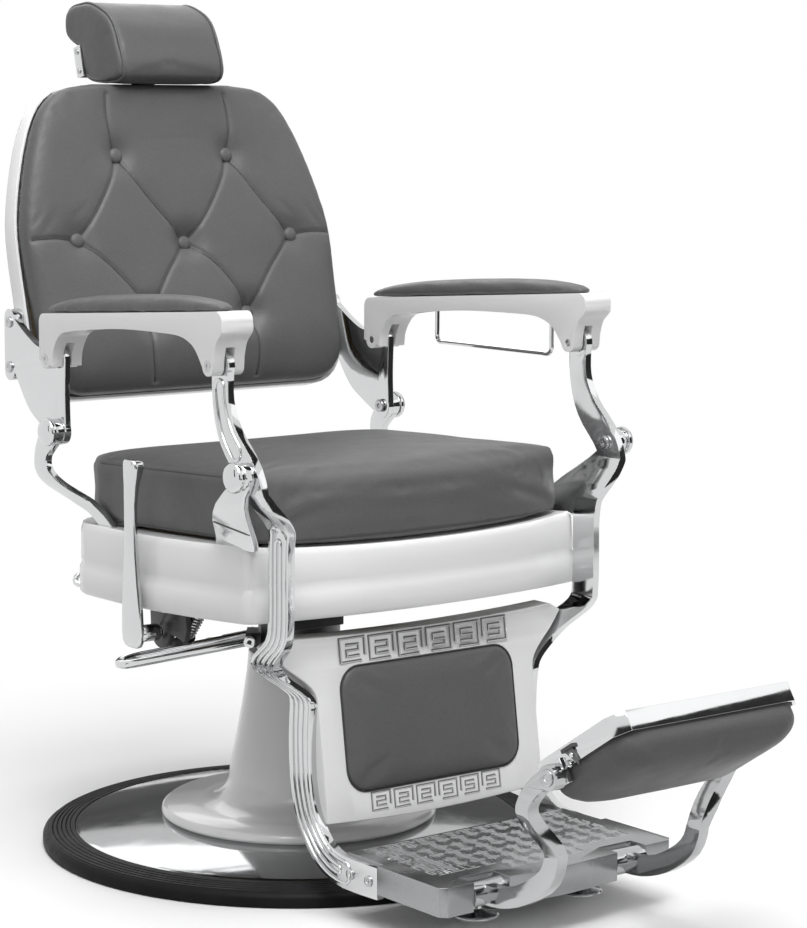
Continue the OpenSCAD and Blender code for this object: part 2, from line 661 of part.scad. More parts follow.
module recline_lever() {
  color(chrome) on_side(-1) {
    intersection() {
      side_plate(band(lever_side_path), 0, wide / 2);
      front_plate(band(lever_front_path));
    }
    x_rod(-lever_pivot_y + lever_tube_r / 2, lever_pivot_z, lever_tube_r, lever_bracket_x + lever_bracket_t + play, lever_x + over);
    x_rod(-lever_pivot_y + lever_tube_r / 2, lever_pivot_z, lever_pin_r, lever_bracket_x - over, lever_x);
  }
}
module lever_bracket() {
  y0 = -lever_pivot_y + lever_tube_r / 2;
  color(black) on_side(-1) difference() {
    union() {
      side_plate(concat(
        [[y0 + 2.4 * lever_tube_r, under_z + rail_t], [y0 + 2 * lever_tube_r, lever_pivot_z]],
        arc([y0, lever_pivot_z], 2 * lever_tube_r, -boss_dip, boss_dip - 180, 10),
        [[y0 - 2 * lever_tube_r, lever_pivot_z], [y0 - 5 * lever_tube_r, lever_pivot_z - lever_tube_r / 2],
         [y0 - 5.5 * lever_tube_r, lever_pivot_z + lever_tube_r], [y0 - 4.6 * lever_tube_r, under_z + rail_t]]),
        lever_bracket_x, lever_bracket_x + lever_bracket_t);
      translate([rail_x, y0 - 4 * lever_tube_r, under_z + rail_t / 2])
        cube([lever_bracket_x - rail_x + lever_bracket_t, 5 * lever_tube_r, rail_t / 3]);
    }
    x_rod(y0, lever_pivot_z, lever_pin_r + fit, 0, wide);
    translate([rail_x - over, y0 - 5 * lever_tube_r, 0]) cube([rail_t / 2 + over, 7 * lever_tube_r, wide]);
  }
}
lock_in = 24;
lock_x = lever_bracket_x - lock_in;
lock_y = -68;
lock_z = 318;
lock_lean = 40;
lock_rod_r = 5;
collar_r = 13;
collar_h = 5;
module at_lock() {
  on_side(-1) translate([lock_x, lock_y, lock_z]) rotate([lock_lean, 0, 0]) children();
}
module lock_rod() {
  color(black) at_lock() {
    translate([0, 0, -2 * collar_h]) cylinder(r = lock_rod_r, h = spring_len + 5 * collar_h, $fn = small_fn);
    translate([0, 0, -collar_h]) cylinder(r = collar_r, h = collar_h, $fn = small_fn);
    translate([0, 0, spring_len]) cylinder(r = collar_r, h = collar_h, $fn = small_fn);
  }
  color(black) on_side(-1) translate([lock_x, lock_y - lock_rod_r, lock_z - 2.5 * collar_h])
    cube([lever_bracket_x - lock_x, 2 * lock_rod_r, 2 * lock_rod_r]);
}
coil_r = (spring_d - spring_wire_d) / 2;
coil_gap = (spring_len - spring_wire_d * (1 + play)) / spring_curls - spring_wire_d;
echo("least gap between the spring's curls", coil_gap);
module lock_spring() {
  rise = spring_len - spring_wire_d - play;
  path = [for (i = [0:8 * spring_curls]) let (a = 45 * i)
    [coil_r * cos(a), coil_r * sin(a), spring_wire_d / 2 + play / 2 + rise * i / (8 * spring_curls)]];
  color(steel) at_lock() tube_along(path, spring_wire_d / 2, 6);
}
rail_wire_d = 8;
rear_rail_x = 205;
rear_rail_y = 244;
rail_tab = 8;
module rear_rail() {
  z = frame_z + rail_t / 2;
  path = smooth([for (p = [
    [-1, 0.56, 0], [-1, 0.8, 0], [-1, 1, 0], [-0.9, 1.03, 0.6], [-0.5, 1.03, 0.75], [0.5, 1.03, 0.75],
    [0.9, 1.03, 0.6], [1, 1, 0], [1, 0.8, 0], [1, 0.56, 0]])
    [p[0] * rear_rail_x, p[1] * rear_rail_y, z + p[2] * rail_t]], 4);
  tab_y = seat_rear - pan_margin - 3 * rail_tab;
  color(chrome) {
    tube_along(path, rail_wire_d / 2, 8);
    for (s = [-1, 1]) on_side(s) {
      translate([rail_x + rail_t / 2, tab_y, z - rail_tab / 2]) cube([rail_tab, 3 * rail_tab, under_z + rail_t - z]);
      translate([rail_x + rail_t / 2, tab_y, z - rail_tab / 2]) cube([rear_rail_x - rail_x - rail_t / 2, 3 * rail_tab, rail_tab]);
    }
  }
}

// Backrest

straight_share = 0.1;
back_low_r = 58;
back_side_shares = [[0.985, 0.16], [0.91, 0.5], [0.8, 0.8], [0.66, 0.955], [0.44, 1]];
function back_half(hw, up, down) = concat(
  [[0.5 * (hw - back_low_r), -down]],
  arc([hw - back_low_r, back_low_r - down], back_low_r, -90, 0, 6),
  [[hw, -0.45 * down]],
  smooth(concat([[hw, -straight_share * up]], [for (s = back_side_shares) [s[0] * hw, s[1] * up]]), 3));
function back_plan(d) = let (h = back_half(back_w / 2 - d, back_up - d, back_down - d))
  concat(h, [for (i = [len(h) - 1:-1:0]) [-h[i][0], h[i][1]]]);
row_up = 121;
row_down = 102;
row_shares = [0.362, 0.7, 0.347];
buttons = [for (s = [-1, 1]) for (b = [[row_shares[0], row_up], [row_shares[1], 0], [row_shares[2], -row_down]])
  [s * b[0] * back_w / 2, b[1]]];
all_buttons = concat(buttons, [[0, 0]]);
function near_line(p, a, b) = let (t = max(0, min(1, ((p - a) * (b - a)) / ((b - a) * (b - a))))) norm(p - a - t * (b - a));
b_in = row_shares[0] * back_w / 2;
b_out = row_shares[1] * back_w / 2;
b_low = row_shares[2] * back_w / 2;
seams = [[[b_in, row_up], [0, 0]], [[b_in, row_up], [b_out, 0]], [[b_out, 0], [b_low, -row_down]],
         [[0, 0], [b_low, -row_down]], [[b_out, 0], [back_w / 2, 0]], [[b_in, row_up], [b_in, back_up]],
         [[b_low, -row_down], [b_low, -back_down]]];
tuft_depth = 17;
tuft_r = 24;
seam_depth = 5;
seam_r = 12;
function tuft(p) = let (q = [abs(p[0]), p[1]])
  min(1.4 * tuft_depth, max([for (b = all_buttons) tuft_depth * exp(-pow(norm(p - b) / tuft_r, 2))])
  + max([for (s = seams) seam_depth * exp(-pow(near_line(q, s[0], s[1]) / seam_r, 2))]));
back_crown = 16;
seam_y = 24;
low_share = 0.035;
lean_share = 0.075;
// The leather narrows a little towards the seat
function narrow(p) = [for (q = p) [q[0] * (1 - low_share * max(0, -q[1]) / back_down), q[1]]];
function front_at(p, s) = back_pad - seam_y + s * (back_crown - lean_share * p[1]) - tuft(p);
cushion_in = 9;
button_seat_fn = 12;
module back_cushion() {
  side_shares = [[0, 8], [0, 0.3], [0.3, -0.3], [0.6, 0], [0.82, 2.5], [0.95, 8]];
  crown_shares = [[0.975, 0.1], [0.94, 0.24], [0.89, 0.4], [0.82, 0.57], [0.74, 0.72], [0.65, 0.83], [0.56, 0.9],
                  [0.46, 0.95], [0.36, 0.98], [0.26, 1], [0.16, 1], [0.06, 1]];
  rings = concat(
    [lift(narrow(back_plan(8)), -seam_y - cushion_in)],
    [for (s = side_shares) lift(narrow(back_plan(s[1])), s[0] * back_pad - seam_y)],
    [for (s = crown_shares) [for (q = narrow(back_plan(8))) let (p = s[0] * q) [p[0], p[1], front_at(p, s[1])]]]);
  color(leather) on_back() difference() {
    loft(rings, tuft_depth / 2);
    for (b = all_buttons) translate([b[0], b[1], front_at(b, 1) + button_sink - play])
      cylinder(r = button_d / 2 + 2 * play, h = 3 * tuft_depth, $fn = button_seat_fn);
  }
}
button_h = 7;
button_sink = 1;
module back_buttons() {
  color(leather) on_back() for (b = all_buttons)
    translate([b[0], b[1], front_at(b, 1) + button_sink])
      rotate_extrude($fn = small_fn) polygon(concat([[0, 0]],
        [for (a = [0:15:90]) [button_d / 2 * cos(a), button_h * sin(a)]]));
}
board_t = 5;
board_y = seam_y + cushion_in + play;
shell_out = 4;
module back_board() {
  color(black) on_back() translate([0, 0, -board_y - board_t]) linear_extrude(board_t) polygon(back_plan(12));
}
guide_wall = 4.5;
guide_y = board_y + board_t + play + guide_wall + headrest_bar_t / 2;
guide_h = 80;
guide_top = back_up - 8;
module guide_block(extra, h) {
  in_back() translate([-headrest_bar_w / 2 - guide_wall - extra, guide_y - headrest_bar_t / 2 - guide_wall - extra, guide_top - guide_h])
    cube([headrest_bar_w + 2 * (guide_wall + extra), headrest_bar_t + 2 * (guide_wall + extra), h]);
}
module back_shell() {
  depth_shares = [[12, 1], [5, 0.93], [1, 0.8], [0, 0.62], [0, 0.25], [0, 0]];
  rear = seam_y + shell_depth;
  color(white) difference() {
    on_back() difference() {
      loft([for (s = depth_shares) lift(back_plan(s[0] - shell_out), -seam_y - s[1] * shell_depth)]);
      loft([lift(back_plan(13), -rear + shell_wall), lift(back_plan(shell_wall + 1), -rear + 2.5 * shell_wall),
            lift(back_plan(0), -rear + 4 * shell_wall), lift(back_plan(0), -seam_y + over)]);
    }
    guide_block(play, wide);
  }
}
module headrest_guide() {
  color(black) difference() {
    guide_block(0, guide_h);
    in_back() translate([-headrest_bar_w / 2 - fit, guide_y - headrest_bar_t / 2 - fit, 0])
      cube([headrest_bar_w + 2 * fit, headrest_bar_t + 2 * fit, wide]);
  }
}
hinge_bar_y = 82;
hinge_bar_z = 276;
knuckle_r = 9;
knuckle_w = 24;
head_pin_r = 4;
bar_low = 40;
bar_shares = [[0, -0.2], [0, 0], [0, 0.1], [0.08, 0.24], [0.26, 0.34], [0.54, 0.44], [0.84, 0.56], [1, 0.74], [1, 1]];
module headrest_bar() {
  reach = hinge_bar_y - guide_y;
  rise = hinge_bar_z - guide_top;
  path = smooth(concat([[guide_y, bar_low, headrest_bar_t / 2], [guide_y, guide_top - guide_h / 2, headrest_bar_t / 2]],
    [for (s = bar_shares) [guide_y + s[0] * reach, guide_top + s[1] * rise, headrest_bar_t / 2]]), 4);
  color(chrome) in_back() difference() {
    union() {
      intersection() {
        side_plate(band(path), -headrest_bar_w / 2, headrest_bar_w / 2);
        union() {
          translate([-wide / 2, -wide / 2, 0]) cube([wide, wide, hinge_bar_z - 2 * knuckle_r]);
          translate([-knuckle_w / 2, -wide / 2, 0]) cube([knuckle_w, wide, wide]);
        }
      }
      x_rod(hinge_bar_y, hinge_bar_z, knuckle_r, -knuckle_w / 2, knuckle_w / 2);
    }
    x_rod(hinge_bar_y, hinge_bar_z, head_pin_r + fit, -wide, wide);
  }
}
plate_y = 68;
plate_t = 3;
plate_low = 250;
plate_high = 294;
plate_notch_h = 12;
module headrest_plate() {
  hw = headrest_w / 2;
  color(chrome) in_back() {
    difference() {
      union() {
        translate([-hw - plate_t, plate_y, plate_low]) cube([2 * (hw + plate_t), plate_t, plate_high - plate_low]);
        for (s = [-1, 1]) on_side(s) {
          translate([hw, plate_y - 14, plate_low]) cube([plate_t, 14 + plate_t, plate_high - plate_low]);
          translate([knuckle_w / 2 + play, plate_y + plate_t, hinge_bar_z - knuckle_r])
            cube([knuckle_w / 2, hinge_bar_y - plate_y - plate_t, 2 * knuckle_r]);
          x_rod(hinge_bar_y, hinge_bar_z, knuckle_r, knuckle_w / 2 + play, knuckle_w + play);
        }
      }
      x_rod(hinge_bar_y, hinge_bar_z, head_pin_r, -wide, wide);
      translate([-headrest_bar_w / 2 - 2, 0, plate_low - over]) cube([headrest_bar_w + 4, wide, plate_notch_h + over]);
    }
    x_rod(hinge_bar_y, hinge_bar_z, head_pin_r, -knuckle_w - play, knuckle_w + play);
  }
}
screw_r = 4;
screw_h = 2;
module headrest_screws() {
  color(steel) in_back() for (s = [-1, 1]) on_side(s) for (z = [plate_low + 2 * screw_r, plate_high - 2 * screw_r])
    x_rod(plate_y - 6, z, screw_r, headrest_w / 2 + plate_t, headrest_w / 2 + plate_t + screw_h);
}
// End outline of the headrest, as shares of its height from the hinge
head_h_size = 110;
head_shares = [[0.15, 0.48], [0.1, 0.66], [0.03, 0.71], [-0.08, 0.735], [-0.3, 0.71], [-0.535, 0.65], [-0.855, 0.43],
  [-0.99, 0.23], [-1.05, -0.05], [-1.075, -0.27], [-1.04, -0.46], [-0.83, -0.48], [-0.495, -0.395], [-0.21, -0.28],
  [-0.145, -0.12], [-0.14, 0.15], [-0.05, 0.23], [0.12, 0.37]];
module headrest_cushion() {
  mid = [-0.5 * head_h_size, 0.12 * head_h_size];
  base = [for (s = head_shares) [s[0] * head_h_size, s[1] * head_h_size]];
  n = len(base);
  keep_y = plate_y - hinge_bar_y - play;
  outline = [for (i = [0:n - 1]) for (j = [0, 1])
    let (q = spline(base[(i + n - 1) % n], base[i], base[(i + 1) % n], base[(i + 2) % n], j / 2))
    (q[1] > plate_low - hinge_bar_z - 4 && q[1] < plate_high - hinge_bar_z + 4 && q[0] > 2 * keep_y)
      ? [min(q[0], keep_y), q[1]] : q];
  hw = headrest_w / 2 - play;
  stations = [[1, 0.86], [0.985, 0.93], [0.95, 0.975], [0.88, 0.995], [0.6, 1], [0.25, 1]];
  sections = concat(stations, [for (i = [len(stations) - 1:-1:0]) [-stations[i][0], stations[i][1]]]);
  color(leather) in_back() translate([0, hinge_bar_y, hinge_bar_z]) rotate([90, 0, 90]) loft(
    [for (i = [len(sections) - 1:-1:0]) let (s = sections[i]) lift([for (q = shrink(outline, mid, s[1]))
      [min(q[0], q[1] < plate_high - hinge_bar_z + 4 && q[0] > 2 * keep_y ? keep_y : wide), q[1]]], s[0] * hw)]);
}

// Backrest brackets

eye_r = 17;
mount_y = 291;
mount_half = 13;
mount_low = 622;
mount_high = 720;
module back_bracket(side) {
  x0 = rear_x - bar_t / 2;
  web = smooth([
    [rest_rear_y - eye_r, rest_rear_z], [rest_rear_y - 0.9 * eye_r, (rest_rear_z + rear_pivot_z) / 2],
    [rear_pivot_y - eye_r, rear_pivot_z]], 4);
  lower = smooth([
    [rear_pivot_y + 0.7 * eye_r, rear_pivot_z - 0.7 * eye_r], [rear_pivot_y + 2.8 * eye_r, rear_pivot_z + 0.4 * eye_r],
    [rear_pivot_y + 4.6 * eye_r, rear_pivot_z + 1.6 * eye_r], [mount_y - mount_half, mount_low + mount_half]], 4);
  upper = smooth([
    [mount_y - mount_half, mount_high - mount_half], [rest_rear_y + 4.6 * eye_r, rest_rear_z + 1.5 * eye_r],
    [rest_rear_y + 2.6 * eye_r, rest_rear_z + 0.7 * eye_r], [rest_rear_y, rest_rear_z + eye_r]], 5);
  color(chrome) on_side(side) difference() {
    union() {
      side_plate(concat(web, lower, upper), x0, x0 + bar_t);
      x_rod(rest_rear_y, rest_rear_z, eye_r, x0, x0 + bar_t);
      x_rod(rear_pivot_y, rear_pivot_z, eye_r + 1, x0, x0 + bar_t);
      side_plate(concat(arc([mount_y, mount_high - mount_half], mount_half, 0, 180, 10),
        arc([mount_y, mount_low + mount_half], mount_half, 180, 360, 10)), back_w / 2 + shell_out, x0 + bar_t);
    }
    x_rod(rest_rear_y, rest_rear_z, rest_pin_r + fit, 0, wide);
    x_rod(rear_pivot_y, rear_pivot_z, pivot_d / 2 + fit, 0, wide);
    for (z = mount_screws) x_rod(mount_y, z, screw_r, 0, wide);
  }
}
rest_pin_r = 5;
mount_screws = [mount_low + 1.4 * mount_half, mount_high - 1.4 * mount_half];
module back_bracket_right() { back_bracket(-1); }
module back_bracket_left() { back_bracket(1); }
module bracket_screws() {
  x1 = rear_x + bar_t / 2;
  color(steel) for (s = [-1, 1]) on_side(s) for (z = mount_screws) difference() {
    union() {
      x_rod(mount_y, z, screw_r - fit, back_w / 2 + shell_out, x1);
      x_rod(mount_y, z, 1.9 * screw_r, x1, x1 + screw_h);
    }
    x_rod(mount_y, z, screw_r * 0.8, x1 + screw_h / 2, x1 + 2 * screw_h, 6);
  }
}

// Armrests

rest_top_rear = 60;
rest_top_front = 68;
rest_back = 183;
rest_nose = 274;
rest_corner = 12;
lug_r = 12.5;
lug_turn = 150;
function rest_top(y) = rest_rear_z + rest_top_rear + (rest_front_z + rest_top_front - rest_rear_z - rest_top_rear)
  * (rest_back - y) / (rest_back + rest_nose);
arch_shares = [[0.975, -0.82], [0.97, -0.2], [0.95, 0.38], [0.915, 0.85], [0.855, 1], [0.7, 1.1], [0.5, 1.12],
  [0.27, 0.95], [0.165, 0.8], [0.105, 0.5], [0.07, 0.13], [0.045, -0.35]];
function arch_point(s) = let (y = -rest_front_y + s[0] * (rest_front_y + rest_rear_y - 0.6 * lug_r))
  [y, rest_top(y) - rest_t - (1 - s[1]) * arch_drop];
arch_drop = 26;
function rest_mid_x(y) = rear_x + (front_x - rear_x) * (rest_rear_y - y) / (rest_rear_y + rest_front_y);
module armrest(side) {
  top_front = rest_top(-rest_nose);
  outline = concat(
    arc([rest_rear_y, rest_rear_z], lug_r, -boss_dip, -lug_turn, 8),
    smooth([for (s = arch_shares) arch_point(s)], 3),
    arc([-rest_front_y, rest_front_z], lug_r, -boss_dip, -lug_turn - boss_dip, 8),
    smooth([[-rest_front_y - 1.05 * lug_r, rest_front_z + 0.9 * lug_r], [-rest_front_y - 1.5 * lug_r, rest_front_z + 2.3 * lug_r],
            [-rest_nose, rest_front_z + 3.4 * lug_r], [-rest_nose, top_front - 1.2 * rest_corner]], 3),
    arc([-rest_nose + rest_corner, rest_top(rest_corner - rest_nose) - rest_corner], rest_corner, 180, 90, 5),
    arc([rest_back - rest_corner, rest_top(rest_back - rest_corner) - rest_corner], rest_corner, 90, 0, 5),
    [[rest_back, rest_rear_z]]);
  plan_path = [for (y = [rest_back + over, rest_rear_y, 0, -rest_front_y, -rest_nose - over]) [rest_mid_x(y), y, rest_w / 2]];
  color(white) on_side(side) difference() {
    intersection() {
      side_plate(outline, 0, wide / 2);
      linear_extrude(wide) polygon(band(plan_path));
    }
    slot_x = lug_slot_w / 2;
    translate([rear_x - slot_x, rest_rear_y - 6 * lug_r, 0]) cube([2 * slot_x, 9 * lug_r, rest_rear_z + slot_up]);
    translate([front_x - slot_x, -rest_nose - over, 0]) cube([2 * slot_x, rest_nose - rest_front_y + 3.4 * lug_r, rest_front_z + slot_up]);
    for (p = rest_pins) {
      x_rod(p[0], p[1], rest_pin_r + fit, 0, wide);
      x_rod(p[0], p[1], 1.5 * rest_pin_r + fit, p[2] + rest_w / 2 - screw_h, wide);
    }
    if (side > 0) for (y = towel_hooks) translate([towel_x, y, rest_top(y) - rest_t - arch_drop])
      cylinder(d = towel_wire_d + 2 * fit, h = towel_sink + arch_drop + play, $fn = small_fn);
  }
}
slot_up = 23;
rest_pins = [[rest_rear_y, rest_rear_z, rear_x], [-rest_front_y, rest_front_z, front_x]];
module armrest_right() { armrest(-1); }
module armrest_left() { armrest(1); }
module armrest_screws(side) {
  color(steel) on_side(side) for (p = rest_pins) difference() {
    union() {
      x_rod(p[0], p[1], rest_pin_r, p[2] - rest_w / 2, p[2] + rest_w / 2 - screw_h);
      x_rod(p[0], p[1], 1.5 * rest_pin_r, p[2] + rest_w / 2 - screw_h, p[2] + rest_w / 2);
    }
    x_rod(p[0], p[1], 0.7 * rest_pin_r, p[2] + rest_w / 2 - screw_h / 2, wide, 6);
  }
}
module armrest_screws_right() { armrest_screws(-1); }
module armrest_screws_left() { armrest_screws(1); }
pad_rear = 181;
pad_front = 250;
pad_half = 21;
module armrest_pad(side) {
  n = 20;
  mid = (pad_rear - pad_front) / 2;
  half_len = (pad_rear + pad_front) / 2;
  base = [for (i = [0:2 * n - 1]) let (a = 360 * i / (2 * n), c = cos(a), s = sin(a),
      x = pad_half * sign(c) * pow(abs(c), 0.7), y = mid + half_len * sign(s) * pow(abs(s), 0.32))
    [x + rest_mid_x(y), y]];
  pad_shares = [[1, 0], [1.03, 0.3], [0.98, 0.6], [0.86, 0.84], [0.6, 0.97], [0.3, 1], [0.08, 1]];
  centre = [rest_mid_x(mid), mid];
  color(leather) on_side(side) loft([for (s = pad_shares)
    [for (q = base) let (c = [rest_mid_x(q[1]), 0], x = c[0] + s[0] * (q[0] - c[0]), y = mid + (q[1] - mid) * min(1, 0.55 + 0.46 * s[0]))
      [x, y, rest_top(y) + play / 2 + s[1] * rest_pad_h * (1 - 0.55 * pow(abs(y - mid) / half_len, 3))]]]);
}
module armrest_pad_right() { armrest_pad(-1); }
module armrest_pad_left() { armrest_pad(1); }
towel_front = -192;
towel_hooks = [towel_front, towel_front + towel_len];
towel_x = 282;
towel_sink = 8;
module towel_rail() {
  z0 = rest_top(towel_hooks[1]) - rest_t + towel_sink;
  z1 = rest_top(towel_hooks[0]) - rest_t + towel_sink;
  low = rest_top(towel_hooks[1]) - rest_t - towel_drop;
  path = concat([[towel_x, towel_hooks[1], z0]],
    smooth([[towel_x, towel_hooks[1], low + 3 * towel_wire_d], [towel_x, towel_hooks[1], low + towel_wire_d],
            [towel_x, towel_hooks[1] - towel_wire_d, low], [towel_x, towel_hooks[1] - 3 * towel_wire_d, low]], 3),
    smooth([[towel_x, towel_hooks[0] + 3 * towel_wire_d, low], [towel_x, towel_hooks[0] + towel_wire_d, low],
            [towel_x, towel_hooks[0], low + towel_wire_d], [towel_x, towel_hooks[0], low + 3 * towel_wire_d]], 3),
    [[towel_x, towel_hooks[0], z1]]);
  color(chrome) tube_along(path, towel_wire_d / 2, 8, [1, 0, 0]);
}

// Leg frame

plate_end_y = 418;
plate_mid_z = 60;
arm_depth = 100;
lug_hole_r = rest_pin_r + 2;
arm_side_shares = [[0.567, 0.658, 0.37], [0.397, 0.335, 0.44]];
arm_low_shares = [[-0.12, 0.911, 0.48], [-0.05, 0.81, 0.47], [-0.035, 0.598, 0.47], [0.165, 0.497, 0.48],
  [0.4, 0.394, 0.5], [0.4, 0.202, 0.5], [0.18, 0.078, 0.49], [-0.3, 0.006, 0.47]];
arm_rise = front_pivot_z - plate_mid_z;
function arm_point(s) = [-front_pivot_y + s[0] * arm_depth, plate_mid_z + s[1] * arm_rise, s[2] * arm_w];
function arm_top_point(s) = [-front_pivot_y + s[0] * arm_depth, front_pivot_z + s[1] * (rest_front_z - front_pivot_z), s[2] * arm_w];
arm_path = smooth(concat(
  [[-rest_front_y, rest_front_z, 0.38 * arm_w]], [for (s = arm_side_shares) arm_top_point(s)],
  [[-front_pivot_y, front_pivot_z, 0.47 * arm_w]], [for (s = arm_low_shares) arm_point(s)],
  [[-plate_end_y, plate_mid_z, 0.45 * arm_w]]), 4);
upper_x_shares = [[1, 1.8], [1, 1.388], [1, 1.009], [0.88, 0.946], [0.12, 0.87], [0, 0.82]];
lower_x_shares = [[1, 0.631], [0.95, 0.574], [0.5, 0.505], [0.05, 0.435], [0, 0.378], [0, 0.252], [0, -0.126]];
arm_front_path = smooth(concat(
  [for (s = upper_x_shares) [run_x + s[0] * (front_x - run_x), plate_mid_z + s[1] * arm_rise, bar_t / 2]],
  [for (s = lower_x_shares) [shin_x + s[0] * (run_x - shin_x), plate_mid_z + s[1] * arm_rise, bar_t / 2]]), 4);
module front_arm(side) {
  x0 = front_x - bar_t / 2;
  color(chrome) on_side(side) difference() {
    union() {
      intersection() {
        side_plate(band(arm_path), 0, wide / 2);
        front_plate(band(arm_front_path));
      }
      x_rod(-rest_front_y, rest_front_z, arm_eye_r, x0, x0 + bar_t);
    }
    x_rod(-rest_front_y, rest_front_z, lug_hole_r, x0 - over, wide);
    x_rod(-front_pivot_y, front_pivot_z, pivot_d / 2 + fit, x0 - over, wide);
    for (y = plate_screw_y) x_rod(y, plate_mid_z, screw_r, 0, wide);
  }
}
arm_eye_r = 0.41 * arm_w;
plate_screw_y = [-plate_end_y + 17, -plate_end_y + 54];
module front_arm_right() { front_arm(-1); }
module front_arm_left() { front_arm(1); }

panel_y = 271;
panel_lean = 8.4;
panel_wall = 11;
panel_top_x = 214;
panel_corner_h = 26;
arm_outline = band(arm_front_path);
// The arms' inner edges, from the floor upwards
arm_inner = [for (i = [len(arm_outline) / 2:len(arm_outline) - 1]) arm_outline[i]];
panel_low_x = shin_x - bar_t / 2;
module panel_outline() {
  top = [for (i = [-4:4]) [i / 4 * panel_top_x, panel_top_z - panel_corner_h / 5 * (1 - pow(i / 4, 2))]];
  low = [for (i = [4:-1:-4]) [i / 4 * panel_low_x, panel_bottom_z + panel_corner_h / 4 * pow(i / 4, 2)]];
  intersection() {
    polygon(concat(arm_inner, [for (i = [len(arm_inner) - 1:-1:0]) [-arm_inner[i][0], arm_inner[i][1]]]));
    polygon(concat([[-run_x, panel_top_z - panel_corner_h]], top, [[run_x, panel_top_z - panel_corner_h],
      [run_x, panel_bottom_z + panel_corner_h / 4]], low, [[-run_x, panel_bottom_z + panel_corner_h / 4]]));
  }
}
module at_panel() {
  translate([0, -panel_y, panel_top_z]) rotate([-panel_lean, 0, 0]) translate([0, 0, -panel_top_z]) children();
}
module rounded(w, h, r, x, z) {
  translate([x, z]) polygon(concat(
    arc([w / 2 - r, h / 2 - r], r, 0, 90, 8), arc([r - w / 2, h / 2 - r], r, 90, 180, 8),
    arc([r - w / 2, r - h / 2], r, 180, 270, 8), arc([w / 2 - r, r - h / 2], r, 270, 360, 8)));
}
pad_mid_z = 218;
pad_corner_r = 30;
pad_sink = 6;
module calf_panel() {
  color(white) difference() {
    intersection() {
      front_plate_of() panel_outline();
      at_panel() translate([-run_x, 0, 0]) cube([2 * run_x, panel_t, wide / 2]);
    }
    at_panel() {
      translate([0, pad_sink, 0]) rotate([90, 0, 0]) linear_extrude(pad_sink + over)
        rounded(calf_pad_w, calf_pad_h, pad_corner_r, 0, pad_mid_z);
      translate([0, wide / 4, 0]) rotate([90, 0, 0]) linear_extrude(wide / 4 - panel_wall)
        rounded(2 * panel_low_x - 4 * panel_wall, panel_top_z - panel_bottom_z - 5 * panel_wall, pad_corner_r, 0, pad_mid_z);
    }
  }
}
module calf_pad() {
  n = 10;
  w = calf_pad_w / 2 - play;
  h = calf_pad_h / 2 - play;
  r = pad_corner_r;
  base = concat(
    arc([w - r, h - r], r, 0, 90, n), arc([r - w, h - r], r, 90, 180, n),
    arc([r - w, r - h], r, 180, 270, n), arc([w - r, r - h], r, 270, 360, n));
  pad_shares = [[1, 0], [1, 0.4], [0.99, 0.55], [0.95, 0.72], [0.86, 0.85], [0.65, 0.96], [0.35, 1], [0.08, 1]];
  rings = [for (s = pad_shares) lift([for (q = base) [q[0] * s[0], q[1] * s[0]]], -pad_sink + play / 2 + s[1] * (pad_sink + calf_pad_t))];
  color(leather) at_panel() translate([0, 0, pad_mid_z]) rotate([90, 0, 0]) loft(rings);
}

// Platform and footrest

side_x = shin_x + bar_t / 2;
hub_in = 88;
hub_out = 139;
rod_end = 20;
screw_reach = 14;
hinge_z = platform_z - platform_t / 2;
hub_r = 16;
rod_r = 6;
platform_low = platform_z - platform_t;
// Plan of the platform, half of it, from the rear middle to the front middle
platform_half = [
  [0, -platform_rear], [shin_x - bar_t / 2, -platform_rear], [shin_x - bar_t / 2, -plate_end_y - play],
  [side_x, -plate_end_y - play], [side_x, -platform_front + 8], [side_x - 8, -platform_front],
  [hub_out + play, -platform_front], [hub_out + play, -hinge_y + hub_r + play], [hub_in - play, -hinge_y + hub_r + play],
  [hub_in - play, -platform_front - 4], [0, -platform_front - 10]];
pocket_x = 148;
pocket_wall = 10;
module foot_platform() {
  color(chrome) difference() {
    union() {
      translate([0, 0, platform_low]) linear_extrude(platform_t) polygon(platform_half);
      translate([0, 0, platform_low]) linear_extrude(platform_t) mirror([1, 0]) polygon(platform_half);
    }
    x_rod(-hinge_y, hinge_z, rod_r + fit, -hub_out - rod_end, hub_out + rod_end);
    translate([-pocket_x, -glide_y + glide_d, 0]) cube([2 * pocket_x, glide_y - glide_d - platform_rear - pocket_wall, platform_z - pocket_wall]);
    for (s = [-1, 1]) on_side(s) for (y = plate_screw_y)
      x_rod(y, plate_mid_z, screw_r, shin_x - bar_t / 2 - screw_reach - 2 * over, wide);
  }
}
module platform_screws() {
  x1 = shin_x + bar_t / 2;
  color(steel) for (s = [-1, 1]) on_side(s) for (y = plate_screw_y) difference() {
    union() {
      x_rod(y, plate_mid_z, screw_r - fit, x1 - bar_t - screw_reach, x1);
      x_rod(y, plate_mid_z, 1.7 * screw_r, x1, x1 + screw_h);
    }
    x_rod(y, plate_mid_z, 0.8 * screw_r, x1 + screw_h / 2, x1 + 2 * screw_h, 6);
  }
}
glide_x = 84.6;
glide_y = 482.6;
glide_z = 17;
glide_h = 8;
module platform_glides() {
  color(chrome) for (s = [-1, 1]) translate([s * glide_x, -glide_y, 0]) rotate_extrude($fn = small_fn) polygon([
    [0, glide_z], [glide_d / 2 - 3, glide_z], [glide_d / 2, glide_z + 3], [glide_d / 2 - 2, glide_z + 0.7 * glide_h],
    [glide_d / 4, glide_z + glide_h], [glide_d / 8, glide_z + 1.4 * glide_h], [glide_d / 8, platform_low], [0, platform_low]]);
}
module hinge_rod() {
  color(steel) x_rod(-hinge_y, hinge_z, rod_r, -hub_out - rod_end + play, hub_out + rod_end - play);
}
swing_top_x = 160;
swing_low_x = (hub_in + hub_out) / 2;
